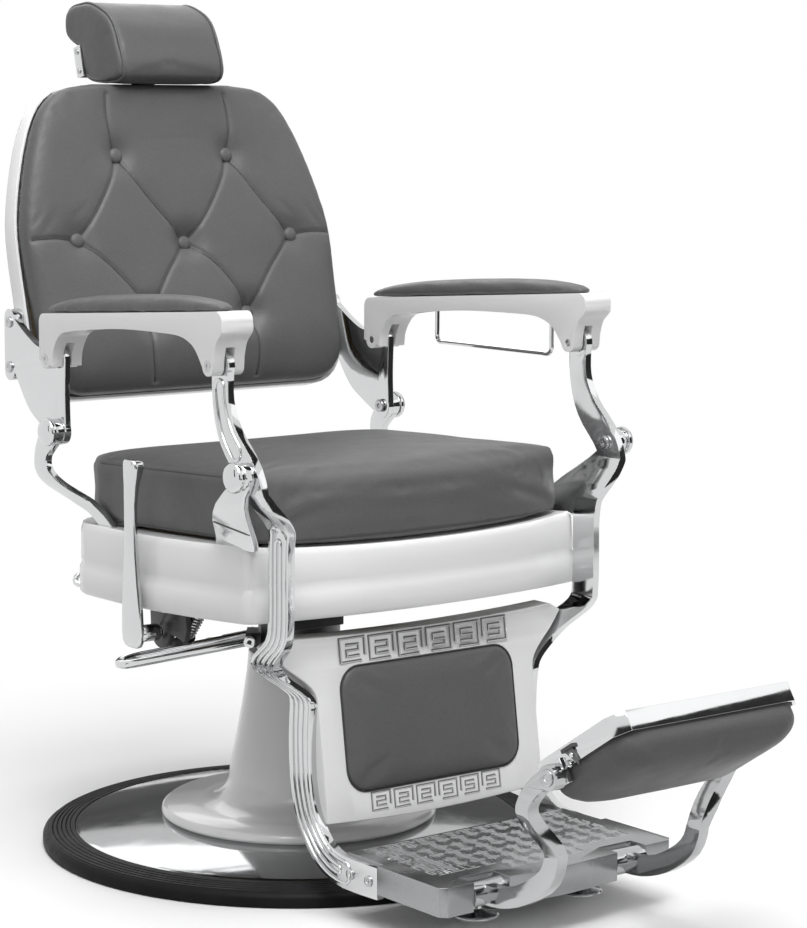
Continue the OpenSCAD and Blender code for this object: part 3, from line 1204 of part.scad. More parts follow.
swing_depth = tray_pivot_y - hinge_y;
swing_rise = tray_pivot_z - hinge_z;
swing_shares = [[0, 0, 0.5], [0.22, 0.01, 0.48], [0.46, 0.09, 0.5], [0.68, 0.24, 0.48], [0.75, 0.42, 0.45],
  [0.72, 0.62, 0.45], [0.76, 0.79, 0.4], [0.88, 0.93, 0.42], [1, 1, 0.46]];
swing_x_shares = [[0, -0.4], [0, 0.1], [0, 0.32], [0.1, 0.45], [0.9, 0.7], [1, 0.83], [1, 0.9], [1, 1.05], [1, 1.4]];
tray_eye_r = 15;
swing_side_path = smooth([for (s = swing_shares)
  [-hinge_y - s[0] * swing_depth, hinge_z + s[1] * swing_rise, s[2] * swing_w]], 3);
swing_front_path = smooth([for (s = swing_x_shares)
  [swing_low_x + s[0] * (swing_top_x - swing_low_x), hinge_z + s[1] * swing_rise, swing_t / 2]], 4);
module footrest_arm(side) {
  color(chrome) on_side(side) difference() {
    union() {
      intersection() {
        side_plate(band(swing_side_path), 0, wide / 2);
        front_plate(band(swing_front_path));
      }
      x_rod(-hinge_y, hinge_z, hub_r, hub_in, hub_out);
      x_rod(-tray_pivot_y, tray_pivot_z, tray_eye_r, swing_top_x - swing_t / 2, swing_top_x + swing_t / 2);
    }
    x_rod(-hinge_y, hinge_z, rod_r + fit, 0, wide);
    x_rod(-tray_pivot_y, tray_pivot_z, tray_pin_r, 0, wide);
  }
}
tray_pin_r = 6;
module footrest_arm_right() { footrest_arm(-1); }
module footrest_arm_left() { footrest_arm(1); }
block_w = 26;
block_x = tray_w / 2;
module footrest_bolts() {
  x1 = swing_top_x + swing_t / 2;
  color(steel) for (s = [-1, 1]) on_side(s) difference() {
    union() {
      x_rod(-tray_pivot_y, tray_pivot_z, tray_pin_r - fit, block_x + play, x1);
      x_rod(-tray_pivot_y, tray_pivot_z, 1.7 * tray_pin_r, x1, x1 + screw_h);
    }
    x_rod(-tray_pivot_y, tray_pivot_z, 0.7 * tray_pin_r, x1 + screw_h / 2, wide, 6);
  }
}
tray_gap = 4;
tray_chamfer = 17;
tray_back = 34;
tray_skin = 4;
module footrest_tray() {
  hw = tray_w / 2;
  front = tray_len - tray_back;
  block_h = swing_top_x - swing_t / 2 - play - block_x;
  color(chrome) in_tray() difference() {
    union() {
      translate([0, 0, tray_gap]) linear_extrude(tray_t) polygon([
        [-hw, tray_back], [hw, tray_back], [hw, -front + tray_chamfer], [hw - tray_chamfer, -front],
        [tray_chamfer - hw, -front], [-hw, -front + tray_chamfer]]);
      for (s = [-1, 1]) on_side(s) {
        translate([block_x - over, -block_w / 2, -block_w / 2]) cube([block_h + over, block_w, block_w + tray_gap]);
      }
    }
    x_rod(0, 0, tray_pin_r, -wide, wide);
    translate([0, 0, tray_gap - over]) linear_extrude(tray_t - tray_skin + over) polygon([
      [tray_skin - hw, tray_back - tray_skin], [hw - tray_skin, tray_back - tray_skin],
      [hw - tray_skin, -front + tray_chamfer + tray_skin / 2], [hw - tray_chamfer - tray_skin / 2, tray_skin - front],
      [tray_chamfer + tray_skin / 2 - hw, tray_skin - front], [tray_skin - hw, -front + tray_chamfer + tray_skin / 2]]);
  }
}
module footrest_cushion() {
  hw = tray_w / 2 - tray_skin - play;
  yb = tray_back - tray_skin - play;
  yf = tray_back - tray_len + tray_skin + play;
  r = tray_chamfer;
  rf = 1.75 * tray_chamfer;
  mid = [0, (yb + yf) / 2];
  n = 4;
  base = concat(
    arc([hw - r, yb - r], r, 0, 90, n), [[0, yb]], arc([r - hw, yb - r], r, 90, 180, n), [[-hw, mid[1]]],
    arc([rf - hw, yf + rf], rf, 180, 270, n), [[-hw / 2, yf], [0, yf], [hw / 2, yf]],
    arc([hw - rf, yf + rf], rf, 270, 360, n), [[hw, mid[1]]]);
  low_shares = [[0.12, 1], [0.4, 0.985], [0.66, 0.93], [0.84, 0.8], [0.95, 0.6], [1.002, 0.38], [1.008, 0.18], [1.004, 0.04], [1, 0]];
  top = tray_gap + tray_t / 2;
  color(leather) in_tray() loft(concat(
    [for (s = low_shares) lift(shrink(base, mid, s[0]), tray_gap - play - s[1] * foot_cushion_t)],
    [lift(base, top)]));
}

base_ring();
base_disc();
column_cover();
pump_cylinder();
cylinder_bolts();
gland_ring();
ram();
pump_head();
pump_pedal();
under_frame();
seat_pan();
skirt();
seat_cushion();
front_bracket_right();
front_bracket_left();
rear_support_right();
rear_support_left();
front_pivot_bolts();
rear_pivot_bolts();
pivot_caps();
lever_bracket();
recline_lever();
lock_rod();
lock_spring();
rear_rail();
back_bracket_right();
back_bracket_left();
bracket_screws();
back_shell();
back_board();
back_cushion();
back_buttons();
headrest_guide();
headrest_bar();
headrest_plate();
headrest_screws();
headrest_cushion();
armrest_right();
armrest_left();
armrest_pad_right();
armrest_pad_left();
armrest_screws_right();
armrest_screws_left();
towel_rail();
front_arm_right();
front_arm_left();
calf_panel();
calf_pad();
foot_platform();
platform_screws();
platform_glides();
hinge_rod();
footrest_arm_right();
footrest_arm_left();
footrest_bolts();
footrest_tray();
footrest_cushion();
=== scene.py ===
import json
import math
from types import SimpleNamespace

import bpy
import numpy as np
from mathutils import Matrix, Vector

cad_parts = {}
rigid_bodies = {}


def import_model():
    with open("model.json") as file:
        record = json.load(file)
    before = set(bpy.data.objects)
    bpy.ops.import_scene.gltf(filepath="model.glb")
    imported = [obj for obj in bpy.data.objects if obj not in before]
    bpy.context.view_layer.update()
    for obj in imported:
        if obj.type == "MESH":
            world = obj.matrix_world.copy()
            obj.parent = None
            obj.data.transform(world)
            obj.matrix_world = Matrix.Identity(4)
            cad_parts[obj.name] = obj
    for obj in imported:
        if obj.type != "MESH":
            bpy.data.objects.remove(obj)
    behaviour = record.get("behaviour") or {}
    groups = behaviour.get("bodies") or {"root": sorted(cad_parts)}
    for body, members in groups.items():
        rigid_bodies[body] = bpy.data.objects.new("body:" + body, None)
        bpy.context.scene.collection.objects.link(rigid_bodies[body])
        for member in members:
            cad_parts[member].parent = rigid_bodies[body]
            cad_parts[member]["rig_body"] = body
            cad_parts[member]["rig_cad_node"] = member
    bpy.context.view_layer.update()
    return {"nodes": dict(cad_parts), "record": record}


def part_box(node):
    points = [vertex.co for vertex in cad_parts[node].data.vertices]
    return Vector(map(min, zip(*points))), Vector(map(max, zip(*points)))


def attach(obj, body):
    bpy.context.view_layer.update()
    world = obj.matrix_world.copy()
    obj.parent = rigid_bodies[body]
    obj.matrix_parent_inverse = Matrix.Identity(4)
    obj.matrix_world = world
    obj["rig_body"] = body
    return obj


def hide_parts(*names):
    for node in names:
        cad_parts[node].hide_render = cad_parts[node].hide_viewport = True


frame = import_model()
record = frame["record"]
bodyOf = {node: body for body, nodes in record["behaviour"]["bodies"].items() for node in nodes}
slotOf = {part["node"]: part["material_slot"] for part in record["subparts"]}
sideNames = {-1: "right", 1: "left"}   # the sitter's
print("stage: frame loaded,", len(bodyOf), "CAD pieces")


def tilted(place, degrees):
    return Matrix.Translation(place) @ Matrix.Rotation(math.radians(degrees), 4, "X")


def sideways(place, side=1):
    return Matrix.Translation(place) @ Matrix.Rotation(side * math.pi / 2, 4, "Y")


# Places of the tilted groups, the same as in the CAD
backFrame = tilted((0, 0.2756, 0.8096), -14.5)
seatFrame = tilted((0, -0.252, 0.46), -2.5)
trayFrame = tilted((0, -0.706, 0.247), -33)
panelFrame = tilted((0, -0.271, 0.341), -8.4) @ Matrix.Translation((0, 0, -0.341))
intoBack, intoSeat, intoTray, intoPanel = (m.inverted() for m in (backFrame, seatFrame, trayFrame, panelFrame))
facing = Matrix.Rotation(math.pi / 2, 4, "X")   # turns what faces up to the front


def only(piece):
    if bpy.context.object and bpy.context.object.mode != "OBJECT":
        bpy.ops.object.mode_set(mode="OBJECT")
    bpy.ops.object.select_all(action="DESELECT")
    if piece:
        piece.hide_set(False)
        piece.select_set(True)
        bpy.context.view_layer.objects.active = piece


def applyAll(piece):
    only(piece)
    for modifier in list(piece.modifiers):
        bpy.ops.object.modifier_apply(modifier=modifier.name)


def editAll(piece, operator, **settings):
    only(piece)
    bpy.ops.object.mode_set(mode="EDIT")
    bpy.ops.mesh.select_all(action="SELECT")
    operator(**settings)
    bpy.ops.object.mode_set(mode="OBJECT")


def outward(piece):
    editAll(piece, bpy.ops.mesh.normals_make_consistent, inside=False)


def merge(piece, distance=0.00002):
    editAll(piece, bpy.ops.mesh.remove_doubles, threshold=distance)


def smooth(piece, angle=40):
    only(piece)
    bpy.ops.object.shade_smooth_by_angle(angle=math.radians(angle))


def bevel(piece, width, segments=3, angle=32):
    edge = piece.modifiers.new("Bevel", "BEVEL")
    edge.width = width
    edge.segments = segments
    edge.limit_method = "ANGLE"
    edge.angle_limit = math.radians(angle)
    edge.miter_outer = "MITER_ARC"
    applyAll(piece)


def finish(piece, body, look, replaced=None):
    piece.data.materials.clear()
    piece.data.materials.append(materials[look])
    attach(piece, body)
    if replaced:
        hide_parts(replaced)


# A closed skin through rings of points: a circle extruded once for each ring, then moved onto them
def ringSolid(name, rings, place=None, capped=True):
    count, rise = len(rings[0]), 0.01
    only(None)
    bpy.ops.mesh.primitive_circle_add(vertices=count, fill_type="NGON" if capped else "NOTHING", radius=1)
    piece = bpy.context.object
    piece.name = piece.data.name = name
    bpy.ops.object.mode_set(mode="EDIT")
    bpy.ops.mesh.select_all(action="SELECT")
    for _ in rings[1:]:
        bpy.ops.mesh.extrude_region_move(TRANSFORM_OT_translate={"value": (0, 0, rise)})
    bpy.ops.object.mode_set(mode="OBJECT")
    spots = [[Vector(p) for p in ring] for ring in rings]
    for vertex in piece.data.vertices:
        k = round(vertex.co.z / rise)
        i = round(math.atan2(vertex.co.y, vertex.co.x) / (2 * math.pi / count)) % count
        vertex.co = place @ spots[k][i] if place else spots[k][i]
    outward(piece)
    return piece


# A profile of radius and height, turned as on a lathe
def turned(name, profile, sides, place=None, capped=True):
    turns = [2 * math.pi * i / sides for i in range(sides)]
    rings = [[(r * math.cos(a), r * math.sin(a), h) for a in turns] for r, h in profile]
    return ringSolid(name, rings, place, capped)


def plateSolid(name, outline, thickness, place=None, edge=0.0):
    piece = ringSolid(name, [[(x, y, z) for x, y in outline] for z in (0, thickness)], place)
    if edge:
        bevel(piece, edge, 2, 50)
    return piece


def wire(name, points, radius, closed=False, sides=3):
    only(None)
    bpy.ops.curve.primitive_bezier_curve_add()
    piece = bpy.context.object
    piece.name = name
    curve = piece.data
    curve.splines.clear()
    line = curve.splines.new("POLY")
    line.points.add(len(points) - 1)
    for point, place in zip(line.points, points):
        point.co = (*place, 1)
    line.use_cyclic_u = closed
    curve.dimensions = "3D"
    curve.bevel_depth = radius
    curve.bevel_resolution = sides
    curve.use_fill_caps = not closed
    bpy.ops.object.convert(target="MESH")
    piece = bpy.context.object
    merge(piece, radius * 0.05)
    outward(piece)
    bpy.ops.object.shade_smooth()
    return piece


def join(name, pieces):
    only(pieces[0])
    for piece in pieces:
        piece.select_set(True)
    bpy.ops.object.join()
    whole = bpy.context.object
    whole.name = whole.data.name = name
    return whole


def copyAt(piece, place):
    copy = piece.copy()
    copy.data = piece.data.copy()
    bpy.context.collection.objects.link(copy)
    copy.data.transform(place)
    return copy


def repeated(name, piece, places):
    copies = [copyAt(piece, place) for place in places[1:]]
    piece.data.transform(places[0])
    return join(name, [piece] + copies)


def mergedCopy(node, name):
    only(frame["nodes"][node])
    bpy.ops.object.duplicate()
    piece = bpy.context.object
    piece.parent = None
    piece.matrix_world = Matrix.Identity(4)
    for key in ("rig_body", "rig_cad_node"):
        del piece[key]
    piece.name = piece.data.name = name
    if piece.data.has_custom_normals:
        bpy.ops.mesh.customdata_custom_splitnormals_clear()
    merge(piece)
    return piece


def arc(x, y, radius, start, end, steps):
    turns = [math.radians(start + (end - start) * i / steps) for i in range(steps + 1)]
    return [(x + radius * math.cos(a), y + radius * math.sin(a)) for a in turns]


def roundedBox(halfX, front, rear, corner, steps=4, frontCorner=None, frontSteps=None):
    wide, many = frontCorner or corner, frontSteps or steps
    return (arc(halfX - corner, rear - corner, corner, 0, 90, steps)
            + arc(corner - halfX, rear - corner, corner, 90, 180, steps)
            + arc(wide - halfX, front + wide, wide, 180, 270, many)
            + arc(halfX - wide, front + wide, wide, 270, 360, many))


def spline(points, steps):
    out = []
    pick = lambda i: np.array(points[max(0, min(len(points) - 1, i))], float)
    for i in range(len(points) - 1):
        a, b, c, d = pick(i - 1), pick(i), pick(i + 1), pick(i + 2)
        for j in range(steps):
            t = j / steps
            out.append(0.5 * (2 * b + (c - a) * t + (2 * a - 5 * b + 4 * c - d) * t * t
                              + (3 * b - a - 3 * c + d) * t ** 3))
    out.append(np.array(points[-1], float))
    return out


# In the material tools, m holds a new material's nodes, links, shader and object coordinates
def newMaterial(name):
    made = bpy.data.materials.new(name)
    made.use_nodes = True
    nodes = made.node_tree.nodes
    coords = nodes.new("ShaderNodeTexCoord").outputs["Object"]
    return SimpleNamespace(made=made, nodes=nodes, links=made.node_tree.links,
                           shader=nodes["Principled BSDF"], coords=coords)


def plug(m, socket, value):
    if isinstance(value, bpy.types.NodeSocket):
        m.links.new(value, socket)
    else:
        socket.default_value = (*value, 1) if hasattr(value, "__len__") else value


def feed(m, name, value):
    plug(m, m.shader.inputs[name], value)


def noise(m, scale, detail=3, roughness=0.55, stretch=None):
    texture = m.nodes.new("ShaderNodeTexNoise")
    for name, value in (("Scale", scale), ("Detail", detail), ("Roughness", roughness)):
        texture.inputs[name].default_value = value
    coords = m.coords
    if stretch:
        mapping = m.nodes.new("ShaderNodeMapping")
        mapping.inputs["Scale"].default_value = stretch
        m.links.new(coords, mapping.inputs["Vector"])
        coords = mapping.outputs["Vector"]
    m.links.new(coords, texture.inputs["Vector"])
    return texture.outputs["Fac"]


def ramp(m, value, low, high, start=0.3, end=0.7):
    colours = m.nodes.new("ShaderNodeValToRGB")
    for element, place, colour in zip(colours.color_ramp.elements, (start, end), (low, high)):
        element.position = place
        element.color = (*colour, 1) if hasattr(colour, "__len__") else (colour, colour, colour, 1)
    m.links.new(value, colours.inputs["Fac"])
    return colours.outputs["Color"]


def cloud(m, scale, detail, low, high, start=0.3, end=0.7):
    return ramp(m, noise(m, scale, detail), low, high, start, end)


def edges(m, low, high, start, end):
    return ramp(m, m.nodes.new("ShaderNodeNewGeometry").outputs["Pointiness"], low, high, start, end)


def bump(m, height, strength, distance, under=None):
    node = m.nodes.new("ShaderNodeBump")
    node.inputs["Strength"].default_value = strength
    node.inputs["Distance"].default_value = distance
    m.links.new(height, node.inputs["Height"])
    if under:
        m.links.new(under, node.inputs["Normal"])
    feed(m, "Normal", node.outputs["Normal"])
    return node.outputs["Normal"]


def mixed(m, factor, first, second, mode="MIX"):
    mix = m.nodes.new("ShaderNodeMix")
    mix.data_type = "RGBA"
    mix.blend_type = mode
    for i, value in ((0, factor), (6, first), (7, second)):
        plug(m, mix.inputs[i], value)
    return mix.outputs[2]


def leatherMaterial(name, low, high):
    m = newMaterial(name)
    pebble = m.nodes.new("ShaderNodeTexVoronoi")
    pebble.inputs["Scale"].default_value = 620
    m.links.new(m.coords, pebble.inputs["Vector"])
    crack = ramp(m, pebble.outputs["Distance"], 1.0, 0.86, 0.35, 0.75)
    colour = mixed(m, 1.0, cloud(m, 7, 4, low, high), crack, "MULTIPLY")
    # Lighter on convex edges as wear, and darker in hollows and creases as painted shade
    feed(m, "Base Color", mixed(m, 1.0, colour, edges(m, 0.93, 1.1, 0.47, 0.56), "MULTIPLY"))
    feed(m, "Roughness", cloud(m, 24, 2, 0.4, 0.52))
    crease = bump(m, noise(m, 60, 3), 0.12, 0.002)
    bump(m, pebble.outputs["Distance"], 0.16, 0.0006, crease)
    feed(m, "Specular IOR Level", 0.42)
    return m.made


def enamelMaterial(name="whiteEnamel", low=0.87, high=0.88):
    m = newMaterial(name)
    tone = cloud(m, 1.6, 0, low, high, 0.15, 0.85)
    # Darker in hollows and corners: painted shade
    feed(m, "Base Color", mixed(m, 1.0, tone, edges(m, 0.9, 1.0, 0.42, 0.49), "MULTIPLY"))
    feed(m, "Roughness", cloud(m, 120, 1, 0.24, 0.27, 0.1, 0.9))
    bump(m, noise(m, 260, 2), 0.05, 0.0005)
    feed(m, "Coat Weight", 0.5)
    feed(m, "Coat Roughness", 0.06)
    return m.made


def chromeMaterial(name, tone, rough, wave=0.06):
    m = newMaterial(name)
    feed(m, "Metallic", 1)
    feed(m, "Base Color", ramp(m, noise(m, 11, 4, 0.6), [c * 0.95 for c in tone], tone))
    feed(m, "Roughness", ramp(m, noise(m, 30, 5, 0.7), rough, rough + 0.07))
    ripple = bump(m, noise(m, 22, 1), wave, 0.004)
    bump(m, noise(m, 300, 2, 0.5, (1, 1, 14)), 0.02, 0.0003, ripple)
    return m.made


def paintMaterial():
    m = newMaterial("blackPaint")
    feed(m, "Base Color", mixed(m, 1.0, cloud(m, 14, 4, 0.012, 0.026), edges(m, 0.0, 0.12, 0.55, 0.62), "ADD"))
    feed(m, "Roughness", cloud(m, 40, 3, 0.3, 0.42))
    bump(m, noise(m, 420, 3), 0.1, 0.0006)
    return m.made


def steelMaterial():
    m = newMaterial("plainSteel")
    feed(m, "Metallic", 1)
    marks = noise(m, 160, 4, 0.7, (8, 1, 1))
    feed(m, "Base Color", ramp(m, marks, (0.4, 0.4, 0.41), (0.6, 0.6, 0.61)))
    feed(m, "Roughness", ramp(m, marks, 0.2, 0.34))
    bump(m, marks, 0.06, 0.0004)
    return m.made


def rubberMaterial():
    m = newMaterial("rubber")
    feed(m, "Base Color", cloud(m, 12, 4, 0.006, 0.014))
    feed(m, "Roughness", cloud(m, 60, 3, 0.42, 0.52))
    feed(m, "Specular IOR Level", 0.09)
    bump(m, noise(m, 700, 3), 0.15, 0.0005)
    return m.made


def plywoodMaterial():
    m = newMaterial("plywood")
    grain = noise(m, 14, 6, 0.6, (12, 1, 12))
    feed(m, "Base Color", ramp(m, grain, (0.16, 0.115, 0.07), (0.26, 0.19, 0.12)))
    feed(m, "Roughness", ramp(m, grain, 0.55, 0.75))
    bump(m, grain, 0.15, 0.0008)
    return m.made


materials = {
    "leather": leatherMaterial("greyLeather", (0.102, 0.102, 0.104), (0.117, 0.117, 0.119)),
    # Very dark leather for thin lines along seams and where leather meets metal: painted shade
    "seam": leatherMaterial("seamShadow", (0.035, 0.035, 0.036), (0.05, 0.05, 0.051)),
    "white_enamel": enamelMaterial(),
    # Grey enamel for the calf panel's keys, painting the shade of their grooves, and dark grey for the painted shadow
    # line beside each
    "paintedKeyShadow": enamelMaterial("enamelPaintedShadow", 0.13, 0.16),
    "relief": enamelMaterial("enamelReliefPaintedShade", 0.56, 0.6),
    "chrome": chromeMaterial("polishedChrome", (0.66, 0.665, 0.67), 0.045),
    "disc": chromeMaterial("polishedDisc", (0.38, 0.385, 0.39), 0.06, 0.02),
    "cast": chromeMaterial("castChrome", (0.34, 0.345, 0.35), 0.22, 0.02),
    "softChrome": chromeMaterial("softChrome", (0.5, 0.505, 0.51), 0.07),
    "black_paint": paintMaterial(),
    "plywood": plywoodMaterial(),
    "plain_steel": steelMaterial(),
    "rubber": rubberMaterial(),
}
print("stage: materials")

# Hard pieces keep the solid's shape and get rounded edges: the edge's width in metres,
# the steps in it, and the angle that counts as an edge. A name can stand for a right and a left piece.
castings = [
    ("front_arm", 0.0026, 4, 34), ("rear_support", 0.0024, 3, 34), ("back_bracket", 0.002, 3, 34),
    ("footrest_arm", 0.004, 5, 34), ("armrest", 0.0052, 6, 34), ("foot_platform", 0.0014, 3, 34),
    ("footrest_tray", 0.0012, 3, 30), ("calf_panel", 0.0016, 3, 34), ("under_frame", 0.0016, 2, 34),
    ("lever_bracket", 0.0014, 2, 34), ("pump_head headrest_bar", 0.001, 2, 34), ("seat_pan", 0.001, 2, 50),
    ("headrest_plate headrest_guide lock_rod pivot_caps", 0.0006, 2, 34), ("back_board", 0.0008, 2, 50),
    ("platform_glides hinge_rod", 0.0006, 2, 40), ("pump_cylinder ram", 0.001, 2, 40),
    ("cylinder_bolts bracket_screws platform_screws footrest_bolts", 0.0005, 2, 34),
    ("armrest_screws", 0.0004, 2, 34), ("gland_ring headrest_screws", 0.0004, 2, 40),
    ("column_cover", 0.0012, 2, 45), ("base_disc", 0.0008, 2, 30), ("skirt back_shell", 0.0008, 2, 60),
    ("rear_rail towel_rail", 0.0, 1, 40), ("pump_pedal", 0.0004, 2, 50), ("lock_spring", 0.0, 1, 60),
]
# Where a piece's finish differs from that of its slot
finishes = {"base_disc": "disc", "foot_platform": "cast", "footrest_arm": "softChrome"}
castingAngles = {"flat": 0.6, "smooth": 42}


def casting(node, kind, width, segments, angle):
    piece = mergedCopy(node, node + "_finished")
    editAll(piece, bpy.ops.mesh.dissolve_limited, angle_limit=math.radians(castingAngles["flat"]))
    if width:
        bevel(piece, width, segments, angle)
    smooth(piece, castingAngles["smooth"])
    slot = slotOf[node]
    finish(piece, bodyOf[node], finishes.get(kind, slot), node)


for kinds, width, segments, angle in castings:
    for kind in kinds.split():
        for node in (kind, kind + "_right", kind + "_left"):
            if node in bodyOf:
                casting(node, kind, width, segments, angle)

# Where the front arms step inwards they first swing back and stay wide, as a soft knee. The calf
# panel's edges follow them in part, from one distance off its middle to the next.
knee = {"low": 0.252, "high": 0.356, "cuts": 15, "back": 0.030, "out": 0.022,
        "panelFrom": 0.165, "panelTo": 0.235, "panelBack": 0.4}


def kneeAt(z):
    along = (z - knee["low"]) / (knee["high"] - knee["low"])
    return math.sin(math.pi * along) ** 2 if 0 < along < 1 else 0


def shapeKnee(node, isPanel):
    piece = bpy.data.objects[node + "_finished"]
    for z in np.linspace(knee["low"], knee["high"], knee["cuts"]):
        editAll(piece, bpy.ops.mesh.bisect, plane_co=(0, 0, z), plane_no=(0, 0, 1))
    for vertex in piece.data.vertices:
        share = kneeAt(vertex.co.z)
        if isPanel:
            over = (abs(vertex.co.x) - knee["panelFrom"]) / (knee["panelTo"] - knee["panelFrom"])
            share *= min(1, max(0, over))
        vertex.co.x += math.copysign(knee["out"] * share, vertex.co.x)
        vertex.co.y += knee["back"] * share * (knee["panelBack"] if isPanel else 1)
    smooth(piece, castingAngles["smooth"])


for node in ("front_arm_right", "front_arm_left", "calf_panel"):
    shapeKnee(node, node == "calf_panel")

# The lever: narrow in the middle, flared and rounded at the top, wide at its foot
lever = {
    "foot": 0.306, "rise": 0.244, "y": -0.0431, "thick": 0.009, "inset": 0.6,
    "spindleY": -0.0565, "spindleZ": 0.325, "spindleRadius": 0.011, "spindleEnd": 0.014,
    # share of the height, shift forward, half width, and thickness as a share
    "rings": [(0, -0.003, 0.010, 0.4), (0.01, -0.003, 0.0165, 0.8), (0.035, -0.003, 0.0205, 1),
              (0.08, -0.003, 0.0218, 1), (0.2, -0.003, 0.0205, 1), (0.34, -0.003, 0.0165, 1),
              (0.5, -0.0035, 0.0128, 1), (0.64, -0.0038, 0.0108, 1), (0.76, -0.0042, 0.0106, 1.1),
              (0.86, -0.0052, 0.0120, 1.4), (0.93, -0.006, 0.0142, 1.9), (0.97, -0.0067, 0.0152, 2.2),
              (0.99, -0.0067, 0.0136, 2.0), (1, -0.0067, 0.0088, 1.3)],
}


def leverPiece():
    low, high = [Vector(c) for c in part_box("recline_lever")]
    half, inset = lever["thick"] / 2, lever["inset"] * lever["thick"]
    middle = low.x + half
    rings = []
    for share, shift, wide, thick in lever["rings"]:
        deep = half * thick
        inward = inset * (1 - share) + max(0, deep - half)
        rings.append([(middle + inward + x, lever["y"] + shift + y, lever["foot"] + share * lever["rise"])
                      for x, y in roundedBox(deep, -wide, wide, min(0.8 * deep, 0.45 * wide))])
    bar = ringSolid("recline_lever_bar", rings)
    start = middle + inset
    reach, wide = high.x - start - lever["spindleEnd"], lever["spindleRadius"]
    profile = [(wide - 0.001, 0), (wide, 0.001), (wide, reach - 0.001), (wide - 0.001, reach)]
    spindle = turned("recline_lever_spindle", profile, 40, sideways((start, lever["spindleY"], lever["spindleZ"])))
    piece = join("recline_lever_forged", [bar, spindle])
    smooth(piece, 50)
    finish(piece, bodyOf["recline_lever"], "chrome", replaced="recline_lever")


leverPiece()
print("stage: castings")

# Seams of the back, in metres from the middle of its second row: sideways, up, and how far each one bows
backSeams = [
    ((0.0934, 0.121), (0.0, -0.006), 0.007), ((0.0934, 0.121), (0.1806, 0.0), -0.006),
    ((0.1806, 0.0), (0.083, -0.112), -0.007), ((0.0, -0.006), (0.083, -0.112), 0.009),
    ((0.1806, 0.0), (0.2490, 0.003), 0.002), ((0.0934, 0.121), (0.0990, 0.208), -0.006),
    ((0.083, -0.112), (0.0860, -0.202), 0.005),
]
# Buttons: sideways, up, and how deep each one is drawn in
backButtons = [(s * x, z, deep) for s in (-1, 1) for x, z, deep in (
    (0.0934, 0.121, 0.011), (0.1806, 0.0, 0.010), (0.083, -0.112, 0.017))] + [(0, -0.006, 0.018)]


def bowed(start, end, bow, steps=14):
    run = np.array(end) - np.array(start)
    side = np.array([-run[1], run[0]]) / np.linalg.norm(run)
    return [np.array(start) + run * t + side * bow * 4 * t * (1 - t) for t in np.linspace(0, 1, steps + 1)]


seamLines = [[(s * x, z) for x, z in bowed(a, b, bow)] for a, b, bow in backSeams for s in (-1, 1)]
seamSpots = np.array([spot for line in seamLines for spot in line])
buttonSpots = np.array(backButtons)[:, :2]


def awayFrom(spots, q):
    return np.linalg.norm(spots - np.array((q.x, q.z)), axis=1)


# What stays where it is while a cushion fills: what rests on its board or frame, and what is sewn down
def heldSeat(p):
    q = intoSeat @ p
    return q.z < 0.012 or (0.062 < q.z < 0.086 and q.y > 0.02)


def heldBack(p):
    q = intoBack @ p
    return q.y > 0.010 or min(awayFrom(buttonSpots, q)) < 0.014 or min(awayFrom(seamSpots, q)) < 0.004


armTop = {"rearY": 0.183, "rearHeight": 0.721, "rise": 0.0316, "length": 0.457, "over": 0.003}


def heldPad(p):
    forward = (armTop["rearY"] - p.y) / armTop["length"]
    return p.z < armTop["rearHeight"] + armTop["rise"] * forward + armTop["over"]


# Cushions: a copy of the solid is remeshed finely, filled by a cloth simulation, then creased and seamed
armrestPad = {"voxel": 0.004, "rounds": 6, "shrink": 0.985, "stretch": 1.035, "cap": 0.003, "pressure": 4.0,
              "fill": 0.85, "held": heldPad}
cushions = {
    "seat_cushion": {"voxel": 0.0055, "rounds": 2, "shrink": 1.0, "cap": 0.004, "pressure": 3.0,
                     "fill": 0.75, "held": heldSeat},
    "back_cushion": {"voxel": 0.005, "rounds": 3, "shrink": 1.0, "cap": 0.0042, "pressure": 4.5,
                     "fill": 0.7, "held": heldBack},
    "headrest_cushion": {"voxel": 0.004, "rounds": 5, "shrink": 0.995, "cap": 0.0018, "pressure": 4.0,
                         "fill": 0.8, "held": lambda p: (intoBack @ p).y > 0.062},
    "armrest_pad_right": armrestPad,
    "armrest_pad_left": armrestPad,
    "calf_pad": {"voxel": 0.004, "rounds": 5, "shrink": 1.0, "cap": 0.0012, "pressure": 2.0,
                 "fill": 0.8, "held": lambda p: (intoPanel @ p).y > -0.001},
    "footrest_cushion": {"voxel": 0.0045, "rounds": 4, "shrink": 0.995, "cap": 0.003, "pressure": 3.5,
                         "fill": 0.75, "held": lambda p: (intoTray @ p).z > 0.0},
}


def remesh(piece, voxel, rounds):
    grid = piece.modifiers.new("Remesh", "REMESH")
    grid.mode = "VOXEL"
    grid.voxel_size = voxel
    even = piece.modifiers.new("Even", "SMOOTH")
    even.factor = 0.5
    even.iterations = rounds
    applyAll(piece)


def inflate(piece, isHeld, pressure, cap):
    start = [vertex.co.copy() for vertex in piece.data.vertices]
    group = piece.vertex_groups.new(name="held")
    group.add([vertex.index for vertex in piece.data.vertices if isHeld(vertex.co)], 1, "REPLACE")
    cloth = piece.modifiers.new("Padding", "CLOTH").settings
    cloth.use_pressure = True
    cloth.uniform_pressure_force = pressure
    cloth.effector_weights.gravity = 0
    cloth.vertex_group_mass = "held"
    cloth.tension_stiffness = cloth.compression_stiffness = 25
    cloth.bending_stiffness = 2
    scene = bpy.context.scene
    for step in range(1, 21):
        scene.frame_set(step)
    applyAll(piece)
    for vertex, origin in zip(piece.data.vertices, start):
        move = vertex.co - origin
        if move.length > 1e-7:
            vertex.co = origin + move * (cap * math.tanh(move.length / cap) / move.length)
    piece.vertex_groups.clear()
    scene.frame_set(1)


